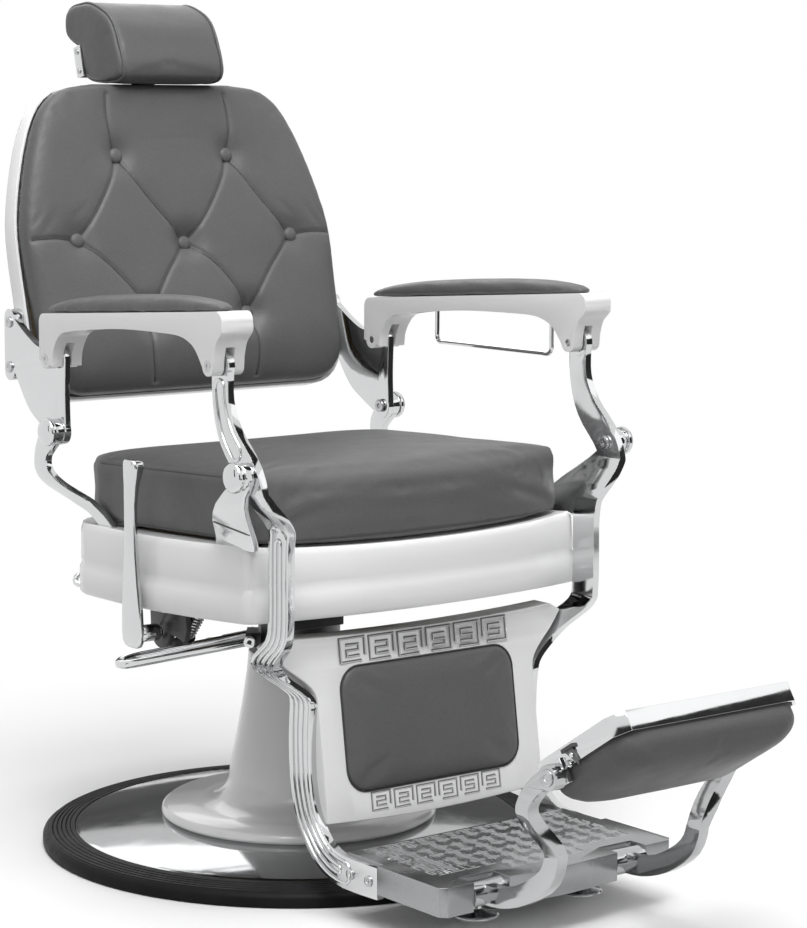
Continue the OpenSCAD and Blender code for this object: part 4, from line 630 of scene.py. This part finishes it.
def crease(piece, lines, width, depth):
    mesh = piece.data
    points = np.empty(3 * len(mesh.vertices))
    normals = np.empty(3 * len(mesh.vertices))
    mesh.vertices.foreach_get("co", points)
    mesh.vertices.foreach_get("normal", normals)
    points, normals = points.reshape(-1, 3), normals.reshape(-1, 3)
    near = np.full(len(points), 1.0)
    for line in lines:
        for a, b in zip(line, line[1:]):
            a, run = np.array(a), np.array(b) - np.array(a)
            t = np.clip(((points - a) @ run) / (run @ run + 1e-12), 0, 1)
            near = np.minimum(near, np.linalg.norm(points - a - t[:, None] * run, axis=1))
    points -= normals * (depth * np.exp(-(near / width) ** 2))[:, None]
    mesh.vertices.foreach_set("co", points.ravel())
    mesh.update()


def castOn(piece, origin, direction):
    hit, place, _, _ = piece.ray_cast(Vector(origin), Vector(direction))
    return place if hit else None


def nearestOn(piece, point):
    return piece.closest_point_on_mesh(Vector(point))[1]


# The back is made afresh, so that its tufts can be finer than the solid's
back = {
    "halfWidth": 0.258, "up": 0.225, "down": 0.212, "lowRadius": 0.058, "rearAt": -0.033, "sideAt": -0.024,
    "padding": 0.030, "crown": 0.012, "lean": 0.075, "narrowing": 0.035, "edge": 0.008,
    "frontFrom": 0.004, "frontOver": 0.010, "tuftRadius": 0.023, "seamDepth": 0.0018, "seamRadius": 0.010,
    "dish": 0.005, "dishWidth": 0.13, "dishHeight": 0.16, "creaseWidth": 0.0032, "creaseDepth": 0.0026,
    # shares of the outline's size
    "shoulder": [(0.985, 0.16), (0.91, 0.5), (0.8, 0.8), (0.66, 0.955), (0.44, 1)],
    # share of the padding, and millimetres drawn in
    "sides": [(0, 8), (0, 0.3), (0.3, -0.3), (0.6, 0), (0.82, 2.5), (0.95, 8)],
    # share of the outline, and share of the crown
    "front": [(0.975, 0.1), (0.94, 0.24), (0.89, 0.4), (0.82, 0.57), (0.74, 0.72), (0.65, 0.83), (0.56, 0.9),
              (0.46, 0.95), (0.36, 0.98), (0.26, 1), (0.16, 1), (0.06, 1)],
}


def backOutline(inset):
    half, up, down, low = back["halfWidth"] - inset, back["up"] - inset, back["down"] - inset, back["lowRadius"]
    edge = [(0.5 * (half - low), -down)] + arc(half - low, low - down, low, -90, 0, 8) + [(half, -0.45 * down)]
    edge += [tuple(p) for p in spline([(half, -0.1 * up)] + [(x * half, z * up) for x, z in back["shoulder"]], 4)]
    whole = edge + [(-x, z) for x, z in reversed(edge)]
    return [(x * (1 - back["narrowing"] * max(0, -z) / back["down"]), z) for x, z in whole]


def backSolid():
    rings = [[(x, -back["rearAt"], z) for x, z in backOutline(back["edge"])]]
    for rise, inset in back["sides"]:
        rings.append([(x, -(back["sideAt"] + rise * back["padding"]), z) for x, z in backOutline(inset / 1000)])
    level = back["sideAt"] + back["padding"]
    for share, rise in back["front"]:
        rings.append([(share * x, -(level + rise * (back["crown"] - back["lean"] * share * z)), share * z)
                      for x, z in backOutline(back["edge"])])
    return ringSolid("back_cushion_padded", rings, backFrame)


def tuftBack(piece):
    for vertex in piece.data.vertices:
        q = intoBack @ vertex.co
        front = min(1, max(0, (back["frontFrom"] - q.y) / back["frontOver"]))
        if front:
            pulls = zip(backButtons, awayFrom(buttonSpots, q))
            deep = max(b[2] * math.exp(-(d / back["tuftRadius"]) ** 2) for b, d in pulls)
            deep += back["seamDepth"] * math.exp(-(min(awayFrom(seamSpots, q)) / back["seamRadius"]) ** 2)
            deep += back["dish"] * math.exp(-(q.x / back["dishWidth"]) ** 2 - (q.z / back["dishHeight"]) ** 2)
            vertex.co = backFrame @ Vector((q.x, q.y + front * deep, q.z))


# The seat's side edges are squared up a little, and its front edge is rolled
seat = {
    "halfWidth": 0.253, "front": 0.252, "rear": 0.188, "frontRadius": 0.018, "rearRadius": 0.1, "bow": 0.03,
    "edgeLift": 0.009, "edgeHalf": 0.25, "edgeFrom": 0.045, "edgeOver": 0.03, "rollDepth": 0.012, "rollRounds": 14,
    "seamHeight": 0.082, "seamWidth": 0.0028, "seamDepth": 0.0012, "footHeight": 0.0012, "footInset": 0.001,
}


def squareSeat(piece):
    for vertex in piece.data.vertices:
        q = intoSeat @ vertex.co
        rise = min(1, max(0, (q.z - seat["edgeFrom"]) / seat["edgeOver"]))
        if rise:
            lift = seat["edgeLift"] * min(1, abs(q.x) / seat["edgeHalf"]) ** 3 * rise
            vertex.co = seatFrame @ Vector((q.x, q.y, q.z + lift))


def rollSeatFront(piece):
    group = piece.vertex_groups.new(name="front")
    spots = [(v.index, intoSeat @ v.co) for v in piece.data.vertices]
    group.add([i for i, q in spots if q.y < seat["rollDepth"] and q.z > seat["edgeFrom"]], 1, "REPLACE")
    even = piece.modifiers.new("Roll", "SMOOTH")
    even.factor, even.iterations, even.vertex_group = 0.5, seat["rollRounds"], "front"
    applyAll(piece)
    piece.vertex_groups.clear()


def resize(piece, middle, change):
    piece.data.transform(Matrix.Translation(middle) @ change @ Matrix.Translation(-middle))


def stuffed(node):
    settings = cushions[node]
    piece = backSolid() if node == "back_cushion" else mergedCopy(node, node + "_padded")
    remesh(piece, settings["voxel"], settings["rounds"])
    if node == "back_cushion":
        tuftBack(piece)
    if node == "seat_cushion":
        squareSeat(piece)
        rollSeatFront(piece)
    middle = sum((Vector(corner) for corner in piece.bound_box), Vector()) / 8
    resize(piece, middle, Matrix.Scale(settings["shrink"], 4))
    if "stretch" in settings:
        resize(piece, middle, Matrix.Diagonal((1, settings["stretch"], 1, 1)))
    inflate(piece, settings["held"], settings["pressure"], settings["cap"])
    finer = piece.modifiers.new("Subdivision", "SUBSURF")
    finer.levels = finer.render_levels = 1
    applyAll(piece)
    bpy.ops.object.shade_smooth()
    finish(piece, bodyOf[node], "leather", replaced=node)
    return piece


# Wires along lines, by default in the very dark leather that paints shade along seams and gaps
def seam(name, node, lines, radius, closed=False, look="seam"):
    whole = join(name, [wire(f"{name}_{i}", line, radius, closed, 2) for i, line in enumerate(lines)])
    finish(whole, bodyOf[node], look)


padded = {node: stuffed(node) for node in cushions}
print("stage: cushions filled")

# Back: creases along the seams, a thin very dark line in each for the stitching, its darkness painted shade, and a
# covered button where they meet
forwards = backFrame.to_3x3() @ Vector((0, 1, 0))


def onBack(spot):
    return castOn(padded["back_cushion"], backFrame @ Vector((spot[0], -0.2, spot[1])), forwards)


def laidSeams():
    return [[p for p in map(onBack, line) if p] for line in seamLines]


crease(padded["back_cushion"], laidSeams(), back["creaseWidth"], back["creaseDepth"])
seam("back_cushion_seams", "back_cushion", laidSeams(), 0.0006)

button = {"profile": [(0.0082, -0.004), (0.0102, -0.0005), (0.0110, 0.0015), (0.0107, 0.0038), (0.0092, 0.0059),
                      (0.0065, 0.0074), (0.0032, 0.0082), (0.0004, 0.0084)], "sides": 32}


def coveredButtons():
    turn = backFrame.to_3x3().to_4x4() @ facing
    places = [Matrix.Translation(onBack(spot)) @ turn for spot in backButtons]
    whole = repeated("back_buttons_covered", turned("dome", button["profile"], button["sides"]), places)
    smooth(whole, 70)
    finish(whole, bodyOf["back_buttons"], "leather", replaced="back_buttons")


coveredButtons()


# Seat: one fine seam round the sides and the rear, near the top, drawn as a very dark line of painted shade, and a dark
# line of painted shade where it meets the skirt
def seatOutline():
    half, front, rear = seat["halfWidth"], seat["front"], seat["rear"]
    small, large = seat["frontRadius"], seat["rearRadius"]
    side = arc(half - small, small - front, small, -60, 0, 3) + [(half, y) for y in (-0.18, -0.09, 0.0)]
    side += arc(half - large, rear - large, large, 0, 90, 10)
    edge = [(i / 8 * (half - small), -front - seat["bow"] * (1 - (i / 8) ** 2)) for i in range(-8, 8)]
    return edge + side + [(-x, y) for x, y in reversed(side)]


def seatLine(height, inset, sidesOnly):
    front, rear = seat["front"], seat["rear"]
    middle, half = (rear - front) / 2, (rear + front) / 2
    spots = [(x * (1 - inset / seat["halfWidth"]), middle + (y - middle) * (1 - inset / half))
             for x, y in seatOutline() if not (sidesOnly and y < 0.004 - front)]
    return [nearestOn(padded["seat_cushion"], seatFrame @ Vector((x, y + front, height))) for x, y in spots]


seatSeam = seatLine(seat["seamHeight"], 0.0, True)
crease(padded["seat_cushion"], [seatSeam], seat["seamWidth"], seat["seamDepth"])
seatSeam = [nearestOn(padded["seat_cushion"], p) for p in seatSeam]
seam("seat_cushion_seam", "seat_cushion", [seatSeam], 0.0006)
seam("seat_cushion_foot", "seat_cushion", [seatLine(seat["footHeight"], seat["footInset"], False)], 0.0019, True)

# Headrest: a welt round each end. The outline is in shares of its size, from the hinge.
headrest = {
    "hingeForward": 0.082, "hingeUp": 0.276, "size": 0.110, "weltAt": 0.0835, "weltRadius": 0.0019,
    "creaseWidth": 0.004, "creaseDepth": 0.0012,
    "outline": [(0.15, 0.48), (0.1, 0.66), (0.03, 0.71), (-0.08, 0.735), (-0.3, 0.71), (-0.535, 0.65),
                (-0.855, 0.43), (-0.99, 0.23), (-1.05, -0.05), (-1.075, -0.27), (-1.04, -0.46), (-0.83, -0.48),
                (-0.495, -0.395), (-0.21, -0.28), (-0.145, -0.12), (-0.14, 0.15), (-0.05, 0.23), (0.12, 0.37)],
}


def headrestWelt(side, word):
    line = []
    for y, z in spline(headrest["outline"] + headrest["outline"][:1], 3)[:-1]:
        spot = Vector((side * headrest["weltAt"], headrest["hingeForward"] + y * headrest["size"],
                       headrest["hingeUp"] + z * headrest["size"]))
        line.append(nearestOn(padded["headrest_cushion"], backFrame @ spot))
    crease(padded["headrest_cushion"], [line + line[:1]], headrest["creaseWidth"], headrest["creaseDepth"])
    seam("headrest_welt_" + word, "headrest_cushion", [line], headrest["weltRadius"], True, "leather")


for side, word in sideNames.items():
    headrestWelt(side, word)

# Pads on the leg frame and the footrest: a dark line of painted shade where leather meets metal
padEdge = {"width": 0.1408, "height": 0.0798, "corner": 0.030, "middle": 0.218, "radius": 0.0011}
ring = roundedBox(padEdge["width"], -padEdge["height"], padEdge["height"], padEdge["corner"], 8)
seam("calf_pad_edge", "calf_pad", [[panelFrame @ Vector((x, -0.0002, padEdge["middle"] + z)) for x, z in ring]],
     padEdge["radius"], True)
footEdge = {"half": 0.1412, "rear": 0.0297, "front": 0.1137, "rearCorner": 0.017, "frontCorner": 0.0298,
            "height": 0.0035, "radius": 0.0013}
ring = roundedBox(footEdge["half"], -footEdge["front"], footEdge["rear"], footEdge["rearCorner"], 5,
                  footEdge["frontCorner"], 6)
seam("footrest_cushion_edge", "footrest_cushion", [[trayFrame @ Vector((x, y, footEdge["height"])) for x, y in ring]],
     footEdge["radius"], True)
print("stage: seams and buttons")

# Base ring: rubber with fine ridges all round
baseRing = {"inner": 0.30605, "outer": 0.350, "height": 0.024, "shoulder": 0.0198, "ridges": 5, "sides": 144}


def baseRingPiece():
    inner, outer, top, shoulder = (baseRing[key] for key in ("inner", "outer", "height", "shoulder"))
    profile = [(inner, 0.0), (outer - 0.004, 0.0), (outer - 0.001, 0.0012), (outer, 0.004), (outer, 0.0122),
               (outer - 0.0012, 0.0152), (outer - 0.0062, 0.0190)]
    start, end = outer - 0.0075, inner + 0.0065
    step = (end - start) / baseRing["ridges"]
    for i in range(baseRing["ridges"]):
        level = shoulder + (top - shoulder) * (i + 0.5) / baseRing["ridges"]
        profile += [(start + (i + share) * step, level + rise)
                    for share, rise in ((0.05, -0.0012), (0.2, 0), (0.8, 0.0004), (0.95, -0.0010))]
    profile += [(end, top - 0.0004), (inner + 0.001, top), (inner, top - 0.0010), (inner, 0.0)]
    piece = turned("base_ring_ridged", profile, baseRing["sides"], capped=False)
    merge(piece)
    outward(piece)
    smooth(piece, 35)
    finish(piece, "base", "rubber", replaced="base_ring")


baseRingPiece()

# Pivot bolts with their domed heads: where the pivot is, and how far out the shank starts and ends
pivotBolts = {
    "front_pivot_bolts": {"y": -0.2997, "z": 0.5551, "start": 0.2847, "shank": 0.311, "radius": 0.007},
    "rear_pivot_bolts": {"y": 0.1659, "z": 0.5637, "start": 0.2677, "shank": 0.2903, "radius": 0.007},
}
boltHead = [(0.0172, 0.0), (0.0187, 0.0008), (0.019, 0.002), (0.019, 0.0046), (0.0186, 0.0062), (0.0176, 0.0078),
            (0.0158, 0.0093), (0.0132, 0.0105), (0.0098, 0.0114), (0.006, 0.01185), (0.0008, 0.012)]


def pivotBolt(node, settings):
    long, wide = settings["shank"] - settings["start"], settings["radius"]
    profile = [(wide - 0.0006, 0.0), (wide, 0.0006), (wide, long)] + [(r, long + h) for r, h in boltHead]
    places = [sideways((side * settings["start"], settings["y"], settings["z"]), side) for side in sideNames]
    piece = repeated(node + "_turned", turned("bolt", profile, 48), places)
    smooth(piece, 30)
    finish(piece, bodyOf[node], "chrome", replaced=node)


for node, settings in pivotBolts.items():
    pivotBolt(node, settings)

# Raised beads on the outer faces of the front arms: the arm's middle line as y, z and half its width
frontArm = {
    "line": [(-0.242, 0.6846, 0.0167), (-0.243, 0.6403, 0.0163), (-0.260, 0.5985, 0.0194), (-0.2997, 0.5551, 0.0207),
             (-0.3117, 0.5110, 0.0211), (-0.3047, 0.4610, 0.0207), (-0.3032, 0.3561, 0.0207), (-0.2832, 0.3061, 0.0211),
             (-0.2597, 0.2551, 0.022), (-0.2597, 0.1600, 0.022), (-0.2817, 0.0986, 0.0216), (-0.3297, 0.0630, 0.0207),
             (-0.418, 0.060, 0.0198)],
    "steps": 8, "beadRadius": 0.0025,
    # first and last step along the line, and how far from its middle, as a share of half the width
    "loops": [(5, 19, 0.55), (38, 90, 0.68), (39, 89, 0.24)],
}


def loopEnd(centre, a, b):
    run = (a - b) / 2
    out = np.array([run[1], -run[0]])
    return [centre + run * math.cos(t) + out * math.sin(t) for t in np.linspace(0, math.pi, 7)[1:-1]]


def beadLoop(path, share):
    left, right = [], []
    for i, p in enumerate(path):
        run = path[min(i + 1, len(path) - 1)][:2] - path[max(i - 1, 0)][:2]
        side = np.array([-run[1], run[0]]) / np.linalg.norm(run)
        left.append(p[:2] + side * share * p[2])
        right.append(p[:2] - side * share * p[2])
    return (left + loopEnd(path[-1][:2], left[-1], right[-1]) + right[::-1]
            + loopEnd(path[0][:2], right[0], left[0]))


def frontArmBeads():
    arm = bpy.data.objects["front_arm_right_finished"]
    line = spline(frontArm["line"], frontArm["steps"])
    beads = []
    for i, (first, last, share) in enumerate(frontArm["loops"]):
        loop = [(y + knee["back"] * kneeAt(z), z) for y, z in beadLoop(line[first:last + 1], share)]
        spots = [castOn(arm, (-0.5, y, z), (1, 0, 0)) for y, z in loop]
        beads.append(wire(f"bead_{i}", [p for p in spots if p], frontArm["beadRadius"], True, 2))
    right = join("front_arm_right_beads", beads)
    left = copyAt(right, Matrix.Scale(-1, 4, (1, 0, 0)))
    left.name = left.data.name = "front_arm_left_beads"
    outward(left)
    for piece in (right, left):
        finish(piece, "leg_frame", "chrome")


frontArmBeads()

# Front brackets: a fin that widens down to the skirt, with a boss for the pivot at its top
bracket = {
    # height, middle across, half thickness, front and rear edge
    "rings": [(0.4565, 0.2610, 0.0050, -0.2690, -0.1880), (0.4610, 0.2620, 0.0052, -0.2710, -0.1895),
              (0.4680, 0.2650, 0.0054, -0.2735, -0.1935), (0.4780, 0.2705, 0.0055, -0.2770, -0.1985),
              (0.4900, 0.2785, 0.0055, -0.2825, -0.2060), (0.5030, 0.2870, 0.0053, -0.2890, -0.2190),
              (0.5160, 0.2945, 0.0051, -0.2960, -0.2360), (0.5300, 0.2990, 0.0050, -0.3040, -0.2560),
              (0.5430, 0.3003, 0.0050, -0.3135, -0.2735), (0.5551, 0.3003, 0.0050, -0.3167, -0.2827),
              (0.5640, 0.3003, 0.0050, -0.3145, -0.2850), (0.5690, 0.3003, 0.0048, -0.3090, -0.2905)],
    "corner": 0.0032, "bossRadius": 0.017, "bossIn": 0.2953, "bossOut": 0.311,
    "grooveHeight": 0.489, "grooveFall": 0.010, "grooveFront": -0.281, "grooveRear": -0.206, "grooveRadius": 0.0012,
}


def frontBracket(side, word):
    name = "front_bracket_" + word
    rings = [[(side * (middle + x), y, z) for x, y in roundedBox(half, front, rear, bracket["corner"])]
             for z, middle, half, front, rear in bracket["rings"]]
    fin = ringSolid(name + "_fin", rings)
    pivot = pivotBolts["front_pivot_bolts"]
    long, wide = bracket["bossOut"] - bracket["bossIn"], bracket["bossRadius"]
    profile = [(wide - 0.001, 0), (wide, 0.001), (wide, long - 0.004), (wide - 0.0012, long - 0.0015),
               (wide - 0.004, long)]
    boss = turned(name + "_boss", profile, 40, sideways((side * bracket["bossIn"], pivot["y"], pivot["z"]), side))
    piece = join(name + "_cast", [fin, boss])
    smooth(piece, 40)
    finish(piece, bodyOf[name], "chrome", replaced=name)
    # A thin black line across the fin's outer face paints the shade of a groove
    front, rear = bracket["grooveFront"], bracket["grooveRear"]
    line = []
    for y in np.linspace(front + 0.004, rear - 0.004, 14):
        height = bracket["grooveHeight"] - bracket["grooveFall"] * (y - rear) / (front - rear)
        line.append(castOn(piece, (side * 0.5, y, height), (-side, 0, 0)))
    paintedGrooveShade = wire(name + "_groove", [p for p in line if p], bracket["grooveRadius"], False, 1)
    finish(paintedGrooveShade, bodyOf[name], "black_paint")


for side, word in sideNames.items():
    frontBracket(side, word)

# Greek keys, a common old ornament: two strokes in a square of six units
keyStrokes = [[(5.2, 0), (0, 0), (0, 6), (6.2, 6), (6.2, 1.4)],
              [(1.5, 4.3), (4.6, 4.3), (4.6, 2.9), (1.6, 2.9), (1.6, 1.4), (4.8, 1.4)]]


def keys(name, places, size, radius, tall, body, look):
    strokes = []
    for i, stroke in enumerate(keyStrokes):
        points = [((x - 3.1) * size / 6.2, (y - 3) * size / 6.2, 0) for x, y in stroke]
        strokes.append(wire(f"{name}_stroke_{i}", points, radius, False, 0))
    first = join(name, strokes)
    first.data.transform(Matrix.Diagonal((1, 1, tall, 1)))
    whole = repeated(name, first, places)
    outward(whole)
    smooth(whole, 30)
    finish(whole, body, look)


# The calf panel's two rows: height, spacing, size, radius of the stroke, and how the row bows.
# Each key stands out a little, in grey enamel that is painted shade, and has a dark painted shadow line beside it.
panelRows = [(0.3215, 0.0465, 0.031, 0.0017, lambda x: -0.0052 * (1 - (x / 0.214) ** 2)),
             (0.1215, 0.0362, 0.0235, 0.0013, lambda x: 0.0065 * (x / 0.177) ** 2)]
panelKey = {"stretch": 1.25, "shadow": (-0.0009, 0.0, 0.0009), "shadowWidth": 1.2}


def panelKeys():
    shade = Matrix.Translation(panelKey["shadow"])
    for i, (z, pitch, size, radius, bow) in enumerate(panelRows):
        places = []
        for k in range(6):
            x = (k - 2.5) * pitch
            stretch = Matrix.Diagonal((panelKey["stretch"] * (-1 if k > 2 else 1), 1, 1, 1))
            places.append(panelFrame @ Matrix.Translation((x, 0.0001, z + bow(x))) @ facing @ stretch)
        keys(f"calf_panel_keys_{i}", places, size, radius, 0.55, "leg_frame", "relief")
        keys(f"calf_panel_key_shadows_{i}", [shade @ p for p in places], size, radius * panelKey["shadowWidth"],
             0.2, "leg_frame", "paintedKeyShadow")


panelKeys()

# The platform's relief: the same key turned four ways, in rows that leave room for the footrest's arms
platform = {"top": 0.083, "pitch": 0.0245, "columns": 13, "rows": 7, "first": -0.362, "size": 0.0205,
            "radius": 0.0008, "armsFrom": 0.072, "armsTo": 0.156, "armsAhead": -0.496}


def flipped(odd):
    return Matrix.Diagonal((1 if odd % 2 else -1, 1, 1, 1))


def platformKeys():
    places = []
    for row in range(platform["rows"]):
        for column in range(platform["columns"]):
            x = (column - (platform["columns"] - 1) / 2) * platform["pitch"]
            y = platform["first"] - row * platform["pitch"]
            if platform["armsFrom"] < abs(x) < platform["armsTo"] and y < platform["armsAhead"]:
                continue
            turn = Matrix.Rotation(math.pi / 2 * ((3 * row + 2 * column + row * column) % 4), 4, "Z")
            places.append(Matrix.Translation((x, y, platform["top"])) @ turn @ flipped(row + column))
    keys("foot_platform_keys", places, platform["size"], platform["radius"], 0.6, "leg_frame", "softChrome")


platformKeys()

# The footrest tray's tread: rows of keys, and a black catch on each side behind the pivot
tray = {"top": 0.028, "pitch": 0.036, "rows": (-0.082, -0.044, -0.006), "columns": 7, "size": 0.026, "radius": 0.0011}


def trayKeys():
    places = [trayFrame @ Matrix.Translation(((k - 3) * tray["pitch"], y, tray["top"])) @ flipped(r + k)
              for r, y in enumerate(tray["rows"]) for k in range(tray["columns"])]
    keys("footrest_tray_keys", places, tray["size"], tray["radius"], 0.6, "footrest", "chrome")


trayKeys()
catch = {
    "outline": [(-0.0175, -0.004), (-0.0365, -0.002), (-0.0385, 0.004), (-0.037, 0.016), (-0.0345, 0.022),
                (-0.0185, 0.022)],
    "bar": [(-0.0165, 0.0195), (-0.0385, 0.0195), (-0.0385, 0.0245), (-0.0165, 0.0245)],
    "across": 0.1452, "thickness": 0.003, "pins": [(-0.0235, 0.004), (-0.0315, 0.0125)], "pinRadius": 0.0032,
    # shares of the pin's radius and of the thickness
    "pinProfile": [(1.0, 0.8), (1.0, 1.5), (0.8, 1.75), (0.1, 1.8)],
}


def trayCatch(side, word):
    name = "footrest_catch_" + word
    place = trayFrame @ sideways((side * catch["across"], 0, 0)) @ Matrix.Rotation(math.pi / 2, 4, "Z")
    thick = side * catch["thickness"]
    plate = plateSolid(name, catch["outline"], thick, place, 0.0007)
    bar = plateSolid(name + "_bar", catch["bar"], thick * 1.5, place, 0.0006)
    finish(join(name, [plate, bar]), "footrest", "black_paint")
    profile = [(catch["pinRadius"] * r, thick * h) for r, h in catch["pinProfile"]]
    places = [place @ Matrix.Translation((y, z, 0)) for y, z in catch["pins"]]
    pins = repeated(name + "_pins", turned("pin", profile, 20), places)
    smooth(pins, 40)
    finish(pins, "footrest", "chrome")


for side, word in sideNames.items():
    trayCatch(side, word)
print("stage: metal details")

# The camera's place, and which way its right, its top and its back point
camera = {
    "position": (-2.1603, -2.9708, 0.9987), "right": (0.78642, -0.61767, 0.00544),
    "up": (0.07617, 0.10571, 0.99148), "back": (-0.61298, -0.77930, 0.13018),
    "lens": 106.11, "shiftX": 0.00182,
}


def addCamera():
    only(None)
    bpy.ops.object.camera_add()
    eye = bpy.context.object
    eye.name = "camera"
    turn = Matrix((camera["right"], camera["up"], camera["back"])).transposed()
    eye.matrix_world = Matrix.Translation(camera["position"]) @ turn.to_4x4()
    eye.data.lens = camera["lens"]
    eye.data.sensor_width = 36
    eye.data.shift_x = camera["shiftX"]
    eye.data.clip_end = 60
    bpy.context.scene.camera = eye


def aim(thing, place, target):
    thing.location = place
    thing.rotation_mode = "QUATERNION"
    thing.rotation_quaternion = (Vector(place) - Vector(target)).to_track_quat("Z", "Y")


# Lamps: place, size and power
lamps = {
    "keyLamp": ((-1.5, -2.0, 3.9), 2.2, 92), "fillLamp": ((2.8, -2.6, 2.2), 2.4, 8),
    "rimLamp": ((1.0, 3.2, 2.8), 2.2, 24), "topLamp": ((0.0, -0.5, 3.7), 2.4, 74),
}


def addLamp(name, place, size, power):
    only(None)
    bpy.ops.object.light_add(type="AREA")
    lamp = bpy.context.object
    lamp.name = name
    lamp.data.size = size
    lamp.data.energy = power
    aim(lamp, place, (0, -0.05, 0.6))


# Dark and grey cards that only reflections see, as a studio puts beside polished metal:
# place, width, height, greyness
cards = {
    "cardCamera": ((-2.7, -3.5, 1.0), 1.9, 2.6, 0.02), "cardLeft": ((-3.4, 0.9, 1.3), 0.5, 1.6, 0.015),
    "cardRight": ((1.9, -2.3, 0.75), 2.2, 1.9, 0.02), "cardFront": ((-0.6, -3.2, 0.3), 1.5, 0.6, 0.03),
    "cardBack": ((2.0, 2.7, 0.55), 3.4, 1.1, 0.16), "cardTop": ((0.5, -0.6, 2.6), 1.2, 1.6, 0.03),
    "cardSide": ((3.2, 0.2, 0.9), 1.3, 1.8, 0.03),
}


def addCard(name, place, width, height, grey):
    only(None)
    bpy.ops.mesh.primitive_plane_add(size=1)
    card = bpy.context.object
    card.name = name
    card.scale = (width, height, 1)
    aim(card, place, (0, -0.05, 0.4))
    m = newMaterial(name)
    feed(m, "Base Color", cloud(m, 2, 1, grey * 0.85, grey * 1.15))
    feed(m, "Roughness", 1)
    card.data.materials.append(m.made)
    card.visible_camera = card.visible_diffuse = card.visible_shadow = False


def calculated(m, operation, first, second):
    node = m.nodes.new("ShaderNodeMath")
    node.operation = operation
    m.links.new(first, node.inputs[0])
    m.links.new(second, node.inputs[1])
    return node.outputs[0]


def rayIs(m, *kinds):
    path = m.nodes.new("ShaderNodeLightPath")
    value = path.outputs[kinds[0]]
    for kind in kinds[1:]:
        value = calculated(m, "MAXIMUM", value, path.outputs[kind])
    return value


def blendShaders(m, share, first, second, output):
    mix = m.nodes.new("ShaderNodeMixShader")
    for i, socket in enumerate((share, first, second)):
        m.links.new(socket, mix.inputs[i])
    m.links.new(mix.outputs[0], m.nodes[output].inputs["Surface"])


# The floor is pale to the eye and in reflections, and greyer in the light it throws back.
# Away from the chair it turns into the white background.
floorLook = {"low": 0.88, "high": 0.9, "bounce": (0.42, 0.42, 0.42), "whiteFrom": 0.45, "whiteTo": 1.1}


def addFloor():
    only(None)
    bpy.ops.mesh.primitive_plane_add(size=40)
    floor = bpy.context.object
    floor.name = "floor"
    m = newMaterial("paleFloor")
    pale = cloud(m, 1.5, 2, floorLook["low"], floorLook["high"])
    seen = rayIs(m, "Is Camera Ray", "Is Glossy Ray")
    feed(m, "Base Color", mixed(m, seen, floorLook["bounce"], pale))
    feed(m, "Roughness", 0.8)
    far = m.nodes.new("ShaderNodeVectorMath")
    far.operation = "LENGTH"
    m.links.new(m.coords, far.inputs[0])
    fade = m.nodes.new("ShaderNodeMapRange")
    fade.inputs["From Min"].default_value = floorLook["whiteFrom"]
    fade.inputs["From Max"].default_value = floorLook["whiteTo"]
    m.links.new(far.outputs["Value"], fade.inputs["Value"])
    share = calculated(m, "MULTIPLY", fade.outputs["Result"], seen)
    white = m.nodes.new("ShaderNodeEmission")
    blendShaders(m, share, m.shader.outputs[0], white.outputs[0], "Material Output")
    floor.data.materials.append(m.made)


studioWhite = {"light": 0.38, "seen": 1}


def addWorld():
    scene = bpy.context.scene
    world = scene.world = bpy.data.worlds.new("studio")
    world.use_nodes = True
    m = SimpleNamespace(nodes=world.node_tree.nodes, links=world.node_tree.links)
    plain, bright = m.nodes["Background"], m.nodes.new("ShaderNodeBackground")
    for node, strength in ((plain, studioWhite["light"]), (bright, studioWhite["seen"])):
        node.inputs["Color"].default_value = (1, 1, 1, 1)
        node.inputs["Strength"].default_value = strength
    seen = rayIs(m, "Is Camera Ray", "Is Glossy Ray", "Is Transmission Ray")
    blendShaders(m, seen, plain.outputs[0], bright.outputs[0], "World Output")
    scene.view_settings.view_transform = "Standard"


addCamera()
for name, settings in lamps.items():
    addLamp(name, *settings)
for name, settings in cards.items():
    addCard(name, *settings)
addFloor()
addWorld()
print("stage: studio")

# Anything not replaced keeps its CAD shape and gets the finish of its slot
for node, thing in frame["nodes"].items():
    if not thing.hide_render:
        thing.data.materials.clear()
        thing.data.materials.append(materials[slotOf[node]])
